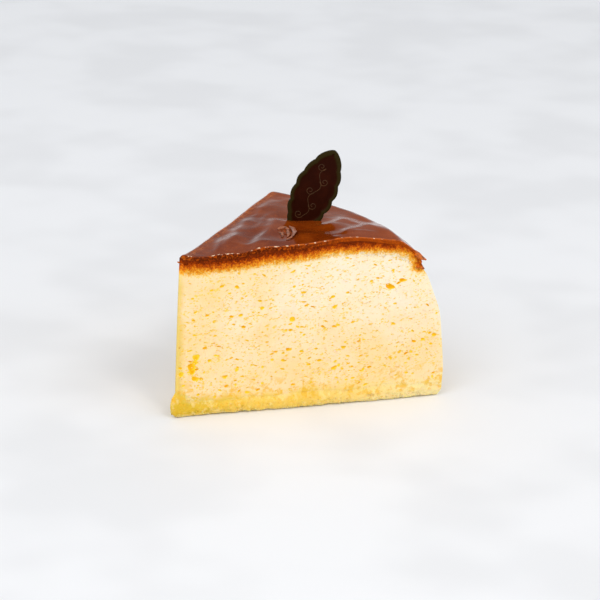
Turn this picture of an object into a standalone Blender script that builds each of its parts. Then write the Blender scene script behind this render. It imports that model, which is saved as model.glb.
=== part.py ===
"""A slice of tall souffle cheesecake, cut from a round cake, with a dark moulded leaf in its top.

Everything is at real size, in metres, with +Z up. The slice's point looks towards -X and its
outer side towards +X. The origin lies under the middle of the slice, on the surface it stands on.

The slice is three pieces: the tall crumb with its browned, glazed crown, the thin sponge layer
under it, and the leaf, whose foot is pushed into a slot in the crown.
"""

import math
import random

import bmesh
import bpy
from mathutils import Matrix, Vector, noise

MM = 0.001

# The round cake that the slice comes from
CAKE_RADIUS = 91.5 * MM
SLICE_ANGLE = math.radians(52.2)
HALF_ANGLE = SLICE_ANGLE / 2

# How far the sponge layer swells out past the point, and the crumb leans back above it
POINT_SWELL = 1.8 * MM
POINT_LEAN = 1.7 * MM

# The distance from the slice's point to the origin, half of the slice's whole length
POINT_TO_ORIGIN = (CAKE_RADIUS - POINT_SWELL) / 2

# Heights
SPONGE_THICKNESS = 4.2 * MM
TOUCHING_GAP = 0.3 * MM
CRUMB_FOOT = SPONGE_THICKNESS + TOUCHING_GAP

# The crown's height at a distance from the point, along the shown cut face and along the other:
# a low middle, a raised ring and a shoulder, which is rounder at the shown face
SHOWN_CROWN = (
    (0.0 * MM, 54.7 * MM),
    (16.0 * MM, 54.3 * MM),
    (32.0 * MM, 55.5 * MM),
    (48.0 * MM, 56.6 * MM),
    (62.0 * MM, 57.0 * MM),
    (71.0 * MM, 56.0 * MM),
    (77.5 * MM, 53.8 * MM),
    (81.3 * MM, 50.6 * MM),
)
OTHER_CROWN = (
    (0.0 * MM, 54.7 * MM),
    (16.0 * MM, 54.2 * MM),
    (32.0 * MM, 54.4 * MM),
    (48.0 * MM, 54.8 * MM),
    (62.0 * MM, 55.3 * MM),
    (71.0 * MM, 55.6 * MM),
    (77.5 * MM, 55.2 * MM),
    (81.3 * MM, 53.2 * MM),
)

# The outer side's distance from the point at a share of its height up to the crown's edge,
# with the step where the browned skin ends
SIDE = (
    (0.0, 91.4 * MM),
    (0.12, 91.7 * MM),
    (0.34, 90.8 * MM),
    (0.55, 89.7 * MM),
    (0.70, 87.4 * MM),
    (0.83, 85.1 * MM),
    (0.885, 83.5 * MM),
    (0.915, 82.6 * MM),
    (0.95, 82.8 * MM),
    (1.0, 81.3 * MM),
)
SPONGE_SIDE = (
    (0.0, 90.4 * MM),
    (0.3, 91.3 * MM),
    (0.65, 91.5 * MM),
    (1.0, 91.4 * MM),
)

# How far the sponge layer swells out of the cut faces at a distance from the point
SPONGE_SWELL = (
    (0.0 * MM, 0.2 * MM),
    (12.0 * MM, 1.6 * MM),
    (40.0 * MM, 2.2 * MM),
    (62.0 * MM, 1.8 * MM),
    (78.0 * MM, 0.4 * MM),
    (91.5 * MM, 0.0 * MM),
)

# The sponge layer rests on its point and on corners of its outer rim; between them its soft lower
# edge draws up a little
RESTING_CORNERS = 4
EDGE_LIFT = 0.25 * MM

# How the slice is divided: along its length, up its height and across its angle
CRUMB_COLUMNS = 30
CRUMB_ROWS = 17
SPONGE_COLUMNS = 24
SPONGE_ROWS = 4
SLICES = 18
END_CROWDING = 0.35

# Waves in the glazed crown, and the knife's waves in the cut faces
CROWN_WAVE = 0.55 * MM
CROWN_WAVE_LENGTH = 13.0 * MM
KNIFE_WAVE = 0.25 * MM
KNIFE_WAVE_LENGTH = 16.0 * MM
SPONGE_WAVE = 0.45 * MM
SPONGE_WAVE_LENGTH = 9.0 * MM

# The largest holes of the shown cut face: distance from the point, height, width and height
SHOWN_HOLES = (
    (72.1 * MM, 39.7 * MM, 3.3 * MM, 2.0 * MM),
    (76.4 * MM, 41.6 * MM, 3.1 * MM, 1.3 * MM),
    (53.5 * MM, 34.1 * MM, 2.3 * MM, 1.1 * MM),
    (39.1 * MM, 30.9 * MM, 2.3 * MM, 1.9 * MM),
    (28.9 * MM, 35.4 * MM, 1.6 * MM, 1.5 * MM),
    (7.4 * MM, 20.1 * MM, 2.4 * MM, 2.4 * MM),
    (6.1 * MM, 16.9 * MM, 2.9 * MM, 2.7 * MM),
    (7.1 * MM, 13.0 * MM, 2.3 * MM, 1.6 * MM),
    (2.6 * MM, 14.9 * MM, 1.8 * MM, 1.8 * MM),
    (38.2 * MM, 20.4 * MM, 2.4 * MM, 1.1 * MM),
    (88.0 * MM, 21.7 * MM, 1.9 * MM, 1.3 * MM),
    (54.0 * MM, 12.8 * MM, 2.6 * MM, 1.8 * MM),
)
SCATTERED_HOLES = 22
OTHER_FACE_HOLES = 34
HOLE_WIDTHS = (1.3 * MM, 2.6 * MM)
HOLE_FLATNESS = (0.4, 0.75)
HOLE_EDGE_MARGIN = 4.0 * MM
HOLE_SPACING = 4.2 * MM
HOLE_SEED = 27

# The moulded leaf: its foot's centre on the crown, the way it faces and how far it leans aside
LEAF_LENGTH = 31.8 * MM
LEAF_WIDTH = 14.0 * MM
LEAF_DEPTH_IN_CROWN = 5.0 * MM
LEAF_THICKNESS = 1.3 * MM
LEAF_RIM = 1.1 * MM
LEAF_RECESS = 0.3 * MM
LEAF_EDGE_ROUND = 0.25 * MM
LEAF_FULLNESS = 0.55
LEAF_SCALLOPS = 6
LEAF_SCALLOP_DEPTH = 0.055
LEAF_STEPS = 30
LEAF_FOOT = Vector((54.6 * MM - POINT_TO_ORIGIN, 1.9 * MM, 56.0 * MM))
LEAF_TURN = math.radians(-42.0)
LEAF_LEAN = math.radians(24.5)


def clear_scene():
    """Removes every object that the file starts with."""
    for thing in list(bpy.data.objects):
        bpy.data.objects.remove(thing, do_unlink=True)


def linear(channel):
    """One sRGB channel, 0 to 255, as the linear value that a shader takes."""
    value = channel / 255
    if value <= 0.04045:
        return value / 12.92
    return ((value + 0.055) / 1.055) ** 2.4


def finish(name, colour, roughness):
    """A Principled material of one colour."""
    material = bpy.data.materials.new(name)
    material.use_nodes = True
    shader = material.node_tree.nodes["Principled BSDF"]
    shader.inputs["Base Color"].default_value = (*(linear(c) for c in colour), 1)
    shader.inputs["Roughness"].default_value = roughness
    shader.inputs["Metallic"].default_value = 0
    return material


def through(stations, x):
    """A smooth curve through stations, a list of (x, value) with rising x."""
    last = len(stations) - 1
    x = min(max(x, stations[0][0]), stations[last][0])
    k = 0
    while k < last - 1 and x > stations[k + 1][0]:
        k += 1

    def slope(i):
        low, high = stations[max(i - 1, 0)], stations[min(i + 1, last)]
        return (high[1] - low[1]) / (high[0] - low[0])

    (x0, y0), (x1, y1) = stations[k], stations[k + 1]
    span = x1 - x0
    t = (x - x0) / span
    rise = t * t * (3 - 2 * t)
    bend = t * (1 - t) * span * ((1 - t) * slope(k) - t * slope(k + 1))
    return y0 + (y1 - y0) * rise + bend


def crowded(t):
    """Spaces even steps closer together at both ends."""
    return t - END_CROWDING * math.sin(2 * math.pi * t) / (2 * math.pi)


def wave(x, y, length, offset):
    """Smooth waves of about one length, from -1 to 1, the same in each run."""
    return noise.noise(Vector((x / length, y / length, offset)))


def crown_height(radius, across):
    """The glazed crown's height. across runs from -1 at the shown cut face to 1 at the other."""
    share = 0.5 + 0.5 * across
    smooth = through(SHOWN_CROWN, radius) * (1 - share) + through(OTHER_CROWN, radius) * share
    flat_to, edge = SHOWN_CROWN[-3][0], SHOWN_CROWN[-1][0]
    waviness = CROWN_WAVE * (1 - min(max((radius - flat_to) / (edge - flat_to), 0), 1))
    angle = across * HALF_ANGLE
    x, y = radius * math.cos(angle), radius * math.sin(angle)
    return smooth + waviness * wave(x, y, CROWN_WAVE_LENGTH, 3.7)


def crumb_point_shift(rise):
    """The crumb's vertical edge leans back from the point over its rise, a share of its height."""
    return POINT_LEAN * rise**1.4


def sponge_point_shift(rise):
    """The sponge layer swells out past the point, most at its middle."""
    return -POINT_SWELL * math.sin(math.pi * (0.2 + 0.6 * rise)) ** 0.7


def crumb_foot(u, w):
    """The crumb's underside lies flat on the sponge layer."""
    return CRUMB_FOOT


def sponge_foot(u, w):
    """The sponge's underside: flat, its lower edge lifted between the corners that it rests on."""
    corner = (w + 1) / 2 * (RESTING_CORNERS - 1)
    rests = u == 0 or (u == 1 and abs(corner - round(corner)) < 1e-6)
    return EDGE_LIFT if (u == 1 or abs(w) == 1) and not rests else 0.0


def crumb_face_depth(along, height, rise):
    """How far the knife's waves reach into a cut face of the crumb, none at the face's edges."""
    share = abs(along) / CAKE_RADIUS
    fade = min(share * 8, 1) * min((1 - share) * 10, 1) * min(rise * 4, 1) * min((1 - rise) * 6, 1)
    return KNIFE_WAVE * fade * (0.5 - 0.5 * wave(along, height, KNIFE_WAVE_LENGTH, 8.3))


def sponge_face_depth(along, height, rise):
    """How far a cut face of the sponge lies in, less than nothing where it swells out."""
    swell = through(SPONGE_SWELL, abs(along)) * math.sin(math.pi * (0.3 + 0.6 * rise)) ** 0.8
    fade = min(abs(along) / CAKE_RADIUS * 8, 1)
    return SPONGE_WAVE * fade * (0.5 - 0.5 * wave(along, height, SPONGE_WAVE_LENGTH, 2.1)) - swell


def wedge(name, columns, rows, foot, side, roof, point_shift, face_depth):
    """A closed wedge: a foot, a roof, a curved outer side and two cut faces that meet in an edge.

    foot gives the foot's height at a share along and a share across, side holds the outer side's
    stations, roof gives the roof's height at a radius and a share across, point_shift how far the
    cut faces' common edge moves along X at a share of the height, and face_depth how far a cut
    face lies in at a place.
    """
    across = [2 * k / SLICES - 1 for k in range(SLICES + 1)]
    along = [crowded(k / columns) for k in range(columns + 1)]
    up = [crowded(k / rows) for k in range(rows + 1)]
    roof_radius = side[-1][1]

    def place(u, v, w):
        angle = w * HALF_ANGLE
        radius = u * through(side, v)
        low = foot(u, w)
        height = low + v * (roof(u * roof_radius, w) - low)
        shift = point_shift(v) * (1 - radius / CAKE_RADIUS)
        point = Vector((radius * math.cos(angle) + shift, radius * math.sin(angle), height))
        if abs(w) == 1 and u > 0:
            inward = Vector((math.sin(HALF_ANGLE), -w * math.cos(HALF_ANGLE), 0))
            point += inward * face_depth(radius * w, height, v)
        point.x -= POINT_TO_ORIGIN
        return point

    body = bmesh.new()
    corners = {}

    def corner(i, j, k):
        key = (i, j, 0 if i == 0 else k)
        if key not in corners:
            corners[key] = body.verts.new(place(along[i], up[j], across[k]))
        return corners[key]

    def patch(*keys):
        distinct = list(dict.fromkeys(corner(*key) for key in keys))
        body.faces.new(distinct)

    for i in range(columns):
        for k in range(SLICES):
            for j in (0, rows):
                patch((i, j, k), (i, j, k + 1), (i + 1, j, k + 1), (i + 1, j, k))
        for j in range(rows):
            for k in (0, SLICES):
                patch((i, j, k), (i + 1, j, k), (i + 1, j + 1, k), (i, j + 1, k))
    for j in range(rows):
        for k in range(SLICES):
            patch((columns, j, k), (columns, j, k + 1), (columns, j + 1, k + 1), (columns, j + 1, k))
    bmesh.ops.recalc_face_normals(body, faces=body.faces)
    return to_object(name, body)


def to_object(name, body):
    """Turns a bmesh into an object of the scene."""
    mesh = bpy.data.meshes.new(name)
    body.to_mesh(mesh)
    body.free()
    thing = bpy.data.objects.new(name, mesh)
    bpy.context.scene.collection.objects.link(thing)
    return thing


def on_cut_face(side, along, height):
    """A place on a cut face: side is -1 for the face towards -Y and 1 for the other."""
    x = along * math.cos(HALF_ANGLE) - POINT_TO_ORIGIN
    return Vector((x, side * along * math.sin(HALF_ANGLE), height))


def scattered_holes(rng, count, taken):
    """Draws holes over a cut face, each clear of the others: distance along, height, width, height."""
    holes = []
    while len(holes) < count:
        along = rng.uniform(HOLE_EDGE_MARGIN, CAKE_RADIUS - 2.2 * HOLE_EDGE_MARGIN)
        height = rng.uniform(CRUMB_FOOT + HOLE_EDGE_MARGIN, SHOWN_CROWN[1][1] - 1.5 * HOLE_EDGE_MARGIN)
        if any(math.hypot(along - a, height - h) < HOLE_SPACING for a, h, *_ in taken + holes):
            continue
        width = HOLE_WIDTHS[0] + (HOLE_WIDTHS[1] - HOLE_WIDTHS[0]) * rng.random() ** 2
        holes.append((along, height, width, width * rng.uniform(*HOLE_FLATNESS)))
    return holes


def hole_cutter(name, side, holes):
    """Flattened balls, half sunk in one cut face, joined into one cutter."""
    body = bmesh.new()
    lie = Matrix.Rotation(side * HALF_ANGLE, 4, "Z")
    for along, height, width, tall in holes:
        size = Matrix.Diagonal((width / 2, width * 0.42, tall / 2, 1))
        spot = Matrix.Translation(on_cut_face(side, along, height))
        bmesh.ops.create_icosphere(body, subdivisions=2, radius=1, matrix=spot @ lie @ size)
    cutter = to_object(name, body)
    cutter.hide_render = True
    cutter.display_type = "WIRE"
    return cutter


def cut(thing, cutter):
    """Takes the cutter's form out of a piece, for good, and removes the cutter."""
    boolean = thing.modifiers.new("cut", "BOOLEAN")
    boolean.operation = "DIFFERENCE"
    boolean.solver = "EXACT"
    boolean.object = cutter
    graph = bpy.context.evaluated_depsgraph_get()
    mesh = bpy.data.meshes.new_from_object(thing.evaluated_get(graph))
    thing.modifiers.clear()
    thing.data = mesh
    bpy.data.objects.remove(cutter, do_unlink=True)


def leaf_half_width(t):
    """Half the leaf's width at a share of its length, with scallops down both edges."""
    swell = math.sin(math.pi * t) ** LEAF_FULLNESS
    scallop = abs(math.sin(math.pi * LEAF_SCALLOPS * t)) - 0.5
    return LEAF_WIDTH / 2 * swell * (1 + LEAF_SCALLOP_DEPTH * scallop)


def leaf_outline(inset):
    """The leaf's outline as (across, up) points, from foot to tip and back, moved in by inset."""
    right = []
    for k in range(1, LEAF_STEPS):
        t = 0.5 - 0.5 * math.cos(math.pi * k / LEAF_STEPS)
        up = inset + t * (LEAF_LENGTH - 2 * inset)
        right.append((max(leaf_half_width(t) - inset, 0.35 * MM), up))
    left = [(-across, up) for across, up in reversed(right)]
    return [(0, inset), *right, (0, LEAF_LENGTH - inset), *left]


def leaf(name, clearance):
    """The leaf as rings of one outline, from the panel of one face round the edge to the other."""
    half = LEAF_THICKNESS / 2 + clearance
    if clearance:
        rings = [(-clearance, -half), (-clearance, half)]
    else:
        rings = [
            (LEAF_RIM + LEAF_RECESS, LEAF_RECESS - half),
            (LEAF_RIM, -half),
            (LEAF_EDGE_ROUND, -half),
            (0, LEAF_EDGE_ROUND - half),
            (0, half - LEAF_EDGE_ROUND),
            (LEAF_EDGE_ROUND, half),
            (LEAF_RIM, half),
            (LEAF_RIM + LEAF_RECESS, half - LEAF_RECESS),
        ]
    body = bmesh.new()
    loops = []
    for inset, depth in rings:
        outline = leaf_outline(inset)
        loops.append([body.verts.new((x, depth, z - LEAF_DEPTH_IN_CROWN)) for x, z in outline])
    for low, high in zip(loops, loops[1:]):
        for k in range(len(low)):
            n = (k + 1) % len(low)
            body.faces.new((low[k], low[n], high[n], high[k]))
    body.faces.new(list(reversed(loops[0])))
    body.faces.new(loops[-1])
    bmesh.ops.recalc_face_normals(body, faces=body.faces)
    thing = to_object(name, body)
    thing.matrix_world = (
        Matrix.Translation(LEAF_FOOT)
        @ Matrix.Rotation(LEAF_TURN, 4, "Z")
        @ Matrix.Rotation(LEAF_LEAN, 4, "Y")
    )
    return thing


def round_off(thing, angle):
    """Shades a piece smooth, apart from edges sharper than angle."""
    thing.data.shade_smooth()
    thing.data.set_sharp_from_angle(angle=math.radians(angle))


def build_cake():
    """The tall crumb, with the holes of both cut faces and the slot that holds the leaf."""
    cake = wedge(
        "cake",
        CRUMB_COLUMNS,
        CRUMB_ROWS,
        crumb_foot,
        SIDE,
        crown_height,
        crumb_point_shift,
        crumb_face_depth,
    )
    rng = random.Random(HOLE_SEED)
    shown = list(SHOWN_HOLES) + scattered_holes(rng, SCATTERED_HOLES, list(SHOWN_HOLES))
    cut(cake, hole_cutter("shown_holes", -1, shown))
    cut(cake, hole_cutter("other_holes", 1, scattered_holes(rng, OTHER_FACE_HOLES, [])))
    cut(cake, leaf("slot", TOUCHING_GAP))
    round_off(cake, 35)
    cake.data.materials.clear()
    cake.data.materials.append(finish("cake_crumb", (252, 224, 164), 0.75))


def build_sponge_base():
    """The thin moist sponge layer that the crumb stands on."""
    base = wedge(
        "sponge_base",
        SPONGE_COLUMNS,
        SPONGE_ROWS,
        sponge_foot,
        SPONGE_SIDE,
        lambda radius, across: SPONGE_THICKNESS,
        sponge_point_shift,
        sponge_face_depth,
    )
    round_off(base, 35)
    base.data.materials.append(finish("sponge", (241, 205, 101), 0.7))


def build_leaf():
    """The dark moulded leaf that stands in the crown."""
    plaque = leaf("leaf_plaque", 0)
    round_off(plaque, 40)
    plaque.data.materials.append(finish("dark_leaf", (43, 15, 6), 0.4))


def main():
    clear_scene()
    build_cake()
    build_sponge_base()
    build_leaf()


main()
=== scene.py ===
"""The looks of a slice of souffle cheesecake with a dark leaf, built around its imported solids.

Every piece is made in the solids' own frame, in metres: +Z up, the slice's point towards -X, its
outer side towards +X. The shown cut face is the one towards -Y.
"""

import logging
import math
from dataclasses import dataclass
from enum import Enum
from itertools import product
from typing import Callable

import bmesh
import bpy
import numpy as np
from mathutils import Matrix, Quaternion, Vector, noise


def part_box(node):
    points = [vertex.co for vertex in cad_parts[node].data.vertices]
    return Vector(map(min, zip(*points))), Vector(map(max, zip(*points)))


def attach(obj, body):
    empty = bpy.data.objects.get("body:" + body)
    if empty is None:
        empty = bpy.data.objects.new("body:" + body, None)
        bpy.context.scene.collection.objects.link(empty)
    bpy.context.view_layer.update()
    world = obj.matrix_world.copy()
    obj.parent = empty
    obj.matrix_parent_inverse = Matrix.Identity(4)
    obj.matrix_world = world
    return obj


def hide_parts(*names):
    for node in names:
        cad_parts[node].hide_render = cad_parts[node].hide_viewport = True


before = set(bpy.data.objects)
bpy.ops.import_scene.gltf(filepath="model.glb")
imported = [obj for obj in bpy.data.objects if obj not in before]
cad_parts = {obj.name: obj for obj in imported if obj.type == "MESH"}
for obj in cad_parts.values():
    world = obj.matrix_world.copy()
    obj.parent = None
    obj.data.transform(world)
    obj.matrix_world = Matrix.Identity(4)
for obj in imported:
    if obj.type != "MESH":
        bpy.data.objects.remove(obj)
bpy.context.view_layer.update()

MM = 0.001
BODY = "root"
LOG = logging.getLogger("cheesecake")
QUARTER = math.pi / 2

Rows = tuple[tuple[float, ...], ...]
Colour = tuple[float, float, float]
Socket = bpy.types.NodeSocket
Thing = bpy.types.Object


class Face(Enum):
    """The two cut faces, by the sign of their Y."""

    SHOWN = -1
    OTHER = 1


def mm(*rows: tuple[float, ...]) -> Rows:
    """Rows of millimetres as rows of metres."""
    return tuple(tuple(value * MM for value in row) for row in rows)


def through(stations: Rows, x: np.ndarray) -> np.ndarray:
    """A smooth curve through stations.

    Args:
        stations: pairs of x and value, with rising x.
        x: where to read the curve.

    Returns:
        The values at x.
    """
    xs, ys = (np.array(column, float) for column in zip(*stations))
    last = len(xs) - 1
    low, high = np.maximum(np.arange(last + 1) - 1, 0), np.minimum(np.arange(last + 1) + 1, last)
    slopes = (ys[high] - ys[low]) / (xs[high] - xs[low])
    x = np.clip(np.asarray(x, float), xs[0], xs[last])
    k = np.clip(np.searchsorted(xs, x, side="left") - 1, 0, last - 1)
    span = xs[k + 1] - xs[k]
    t = (x - xs[k]) / span
    rise = t * t * (3 - 2 * t)
    bend = t * (1 - t) * span * ((1 - t) * slopes[k] - t * slopes[k + 1])
    return ys[k] + (ys[k + 1] - ys[k]) * rise + bend


def waves(x: np.ndarray, y: np.ndarray, length: float, offset: float) -> np.ndarray:
    """Smooth noise over a plane, from about -1 to 1.

    Args:
        x: first coordinates.
        y: second coordinates.
        length: the waves' rough length.
        offset: picks one of many patterns.

    Returns:
        The noise at each place.
    """
    x, y = np.broadcast_arrays(np.asarray(x, float), np.asarray(y, float))
    flat = [noise.noise(Vector((a / length, b / length, offset))) for a, b in zip(x.ravel(), y.ravel())]
    return np.array(flat).reshape(x.shape)


def step(low: float, high: float, x: np.ndarray) -> np.ndarray:
    """A smooth step from 0 at low to 1 at high."""
    t = np.clip((np.asarray(x, float) - low) / (high - low), 0, 1)
    return t * t * (3 - 2 * t)


def linear(colour: Colour) -> tuple[float, float, float, float]:
    """An sRGB colour, 0 to 255, as the linear RGBA that a shader takes."""
    channels = [c / 255 for c in colour]
    return (*(c / 12.92 if c <= 0.04045 else ((c + 0.055) / 1.055) ** 2.4 for c in channels), 1.0)


def toward(azimuth: float, elevation: float) -> Vector:
    """The way out from the slice at an azimuth, 0 to the side of -Y, and an elevation."""
    flat = math.cos(elevation)
    return Vector((math.sin(azimuth) * flat, -math.cos(azimuth) * flat, math.sin(elevation)))


def link(name: str, data: bpy.types.ID) -> Thing:
    """Puts a mesh, light or camera into the scene as an object at the origin.

    Args:
        name: the object's name.
        data: what it shows.

    Returns:
        The object.
    """
    thing = bpy.data.objects.new(name, data)
    bpy.context.scene.collection.objects.link(thing)
    return thing


def finished(name: str, body: bmesh.types.BMesh) -> Thing:
    """Turns a body under construction into an object.

    Args:
        name: the object's name.
        body: its faces and corners.

    Returns:
        The object.
    """
    mesh = bpy.data.meshes.new(name)
    body.to_mesh(mesh)
    body.free()
    return link(name, mesh)


def settle(thing: Thing, angle: float, slot: str, *nodes: str) -> Thing:
    """Shades a piece smooth and makes it ride on the slice and stand for its solids.

    Args:
        thing: the finished piece.
        angle: the angle in degrees above which an edge stays sharp.
        slot: the record's material slot; not used.
        nodes: the solids that it stands for, if any.

    Returns:
        The piece.
    """
    thing.data.shade_smooth()
    thing.data.set_sharp_from_angle(angle=math.radians(angle))
    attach(thing, BODY)
    if nodes:
        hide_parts(*nodes)
    LOG.info("%s: %d faces", thing.name, len(thing.data.polygons))
    return thing


def loft(body: bmesh.types.BMesh, rings: list[list[bmesh.types.BMVert]]) -> None:
    """Joins rings of corners into a closed body with flat ends.

    Args:
        body: where to add the faces.
        rings: the rings in order, each with the same number of corners.
    """
    for low, high in zip(rings, rings[1:]):
        for j in range(len(low)):
            n = (j + 1) % len(low)
            body.faces.new((low[j], low[n], high[n], high[j]))
    body.faces.new(list(reversed(rings[0])))
    body.faces.new(rings[-1])


def store(mesh: bpy.types.Mesh, name: str, values: np.ndarray, kind: str = "FLOAT") -> None:
    """Keeps a value for each vertex, for the materials and trees to read.

    Args:
        mesh: the mesh.
        name: the attribute's name.
        values: one number or row for each vertex.
        kind: the attribute's data type.
    """
    layer = mesh.attributes.new(name, kind, "POINT")
    flat = np.asarray(values, np.int32 if kind == "INT" else np.float32).ravel()
    layer.data.foreach_set("vector" if kind == "FLOAT_VECTOR" else "value", flat)


def points_of(mesh: bpy.types.Mesh) -> np.ndarray:
    """A mesh's vertices as an array of rows.

    Args:
        mesh: the mesh.

    Returns:
        One row for each vertex.
    """
    flat = np.zeros(len(mesh.vertices) * 3, np.float32)
    mesh.vertices.foreach_get("co", flat)
    return flat.reshape(-1, 3).astype(float)


# The slice's form


@dataclass(frozen=True)
class SliceForm:
    """The slice's own shape, which crumb, glaze and sponge share with the solids."""

    cake_radius: float = 91.5 * MM
    point_x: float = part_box("cake")[0].x
    slice_angle: float = math.radians(52.2)
    point_lean: float = 1.7 * MM
    point_forward: float = 0.55 * MM
    point_rounding: float = 0.75 * MM
    crumb_foot: float = 4.5 * MM
    shown_crown: Rows = mm(
        (0.0, 54.7), (16.0, 54.3), (32.0, 55.5), (48.0, 56.6), (62.0, 57.0), (71.0, 56.0),
        (77.5, 53.8), (81.3, 50.6),
    )
    other_crown: Rows = mm(
        (0.0, 54.7), (16.0, 54.2), (32.0, 54.4), (48.0, 54.8), (62.0, 55.3), (71.0, 55.6),
        (77.5, 55.2), (81.3, 53.2),
    )
    side: Rows = (
        (0.0, 91.4 * MM), (0.12, 91.66 * MM), (0.34, 90.8 * MM), (0.55, 89.7 * MM), (0.70, 87.4 * MM),
        (0.83, 85.1 * MM), (0.885, 83.5 * MM), (0.915, 82.6 * MM), (0.95, 82.8 * MM), (1.0, 81.3 * MM),
    )
    skin_end: float = 0.915
    crown_steps: int = 24
    side_steps: int = 8
    crown_wave: float = 0.55 * MM
    crown_wave_length: float = 13.0 * MM
    knife_wave: float = 0.25 * MM
    knife_wave_length: float = 16.0 * MM

    @property
    def half(self) -> float:
        """Half of the slice's angle."""
        return self.slice_angle / 2

    def smooth_crown(self, radius: np.ndarray, share: np.ndarray) -> np.ndarray:
        """The crown's height without its waves, share going from 0 at the shown face to 1 at the other."""
        return through(self.shown_crown, radius) * (1 - share) + through(self.other_crown, radius) * share

    def crown(self, radius: np.ndarray, across: np.ndarray) -> np.ndarray:
        """The glazed crown's height.

        Args:
            radius: distance from the slice's point.
            across: -1 at the shown cut face to 1 at the other.

        Returns:
            The height at each place.
        """
        smooth = self.smooth_crown(radius, 0.5 + 0.5 * np.asarray(across, float))
        flat_to, edge = self.shown_crown[-3][0], self.shown_crown[-1][0]
        fade = 1 - np.clip((radius - flat_to) / (edge - flat_to), 0, 1)
        angle = np.asarray(across, float) * self.half
        wave = waves(radius * np.cos(angle), radius * np.sin(angle), self.crown_wave_length, 3.7)
        return smooth + self.crown_wave * fade * wave

    def lean(self, rise: np.ndarray) -> np.ndarray:
        """How far the crumb's vertical edge lies back from the point at a share of its height."""
        return self.point_lean * np.clip(rise, 0, 1) ** 1.4 - self.point_forward

    def plan(self, radius: np.ndarray, w: np.ndarray, rounding: float) -> tuple[np.ndarray, np.ndarray]:
        """The wedge's level plan, its vertical edge rounded.

        Args:
            radius: distance from the point.
            w: share across, -1 to 1.
            rounding: the edge's radius.

        Returns:
            X from the point, and Y.
        """
        turn = np.clip(radius * math.tan(self.half) / rounding, 0, 1) * (QUARTER - self.half)
        near = radius * math.tan(self.half) < rounding
        angle = w * self.half
        x = np.where(near, rounding / math.sin(self.half) - rounding * np.cos(turn), radius * np.cos(angle))
        y = np.where(near, rounding * np.sin(turn) * w, radius * np.sin(angle))
        return x, y

    def knife(self, along: np.ndarray, height: np.ndarray, rise: np.ndarray) -> np.ndarray:
        """How far the knife's waves reach into a cut face, signed along telling the faces apart.

        Args:
            along: signed distances from the point.
            height: heights above the plate.
            rise: shares of the crumb's height.

        Returns:
            The waves' depth at each place.
        """
        share = np.abs(along) / self.cake_radius
        fade = np.minimum(share * 8, 1) * np.minimum((1 - share) * 10, 1)
        fade = np.clip(fade * np.minimum(rise * 4, 1) * np.minimum((1 - rise) * 6, 1), 0, 1)
        return self.knife_wave * fade * (0.5 - 0.5 * waves(along, height, self.knife_wave_length, 8.3))

    def polar(self, points: np.ndarray) -> tuple[np.ndarray, np.ndarray, np.ndarray]:
        """Radius, share across and share of the height of points in the slice.

        Args:
            points: rows of places.

        Returns:
            The three, one number for each place.
        """
        x, y, z = points[:, 0] - self.point_x, points[:, 1], points[:, 2]
        rise = np.clip((z - self.crumb_foot) / (self.shown_crown[0][1] - self.crumb_foot), 0, 1)
        x = x - self.lean(rise) * (1 - np.clip(np.hypot(x, y) / self.cake_radius, 0, 1))
        radius = np.hypot(x, y)
        across = np.clip(np.arctan2(y, np.maximum(x, 1e-6)) / self.half, -1, 1)
        rise = (z - self.crumb_foot) / (self.crown(radius, across) - self.crumb_foot)
        return radius, across, np.clip(rise, 0, 1)

    def face_distance(self, points: np.ndarray, face: Face) -> np.ndarray:
        """How far points lie behind a cut face, its knife waves left out.

        Args:
            points: rows of places.
            face: the cut face.

        Returns:
            The distances, positive inside the slice.
        """
        radius, across, rise = self.polar(points)
        edge = np.stack([self.point_x + self.lean(rise), np.zeros_like(rise)], 1)
        end = np.array([self.point_x + self.cake_radius * math.cos(self.half),
                        face.value * self.cake_radius * math.sin(self.half)])
        along = end - edge
        along /= np.linalg.norm(along, axis=1)[:, None]
        inward = np.stack([along[:, 1], -along[:, 0]], 1) * face.value
        return ((points[:, :2] - edge) * inward).sum(1)

    def on_face(self, face: Face, along: np.ndarray, height: np.ndarray) -> np.ndarray:
        """Places on a cut face of the crumb.

        Args:
            face: the cut face.
            along: distances from the point.
            height: heights above the plate.

        Returns:
            One row for each place.
        """
        crown = self.crown(along, np.full_like(along, face.value))
        rise = (height - self.crumb_foot) / (crown - self.crumb_foot)
        depth = self.knife(along * face.value, height, rise)
        shift = self.lean(rise) * (1 - along / self.cake_radius)
        x = self.point_x + along * math.cos(self.half) + shift + depth * math.sin(self.half)
        y = face.value * (along * math.sin(self.half) - depth * math.cos(self.half))
        return np.stack([x, y, height], 1)

    def skin_distance(self, points: np.ndarray) -> np.ndarray:
        """The distance from points to the browned skin, over the crown and round the shoulder.

        Args:
            points: rows of places.

        Returns:
            The distances.
        """
        radius, across, _ = self.polar(points)
        nearest = np.maximum(self.crown(radius, across) - points[:, 2], 0)
        share = 0.5 + 0.5 * across
        edge_height = self.shown_crown[-1][1] * (1 - share) + self.other_crown[-1][1] * share
        spots = []
        for k in range(self.crown_steps):
            crown_radius = (0.7 + 0.3 * k / (self.crown_steps - 1)) * self.shown_crown[-1][0]
            spots.append((crown_radius, self.smooth_crown(np.array([crown_radius]), share)))
        for k in range(self.side_steps):
            rise = self.skin_end + (1 - self.skin_end) * k / (self.side_steps - 1)
            height = self.crumb_foot + rise * (edge_height - self.crumb_foot)
            spots.append((through(self.side, np.array([rise]))[0], height))
        for at, height in spots:
            nearest = np.minimum(nearest, np.hypot(radius - at, points[:, 2] - height))
        return nearest


FORM = SliceForm()


def crowded(steps: int, crowding: float) -> np.ndarray:
    """Even steps from 0 to 1, drawn closer together at both ends."""
    t = np.linspace(0, 1, steps + 1)
    return t - crowding * np.sin(2 * math.pi * t) / (2 * math.pi)


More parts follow.
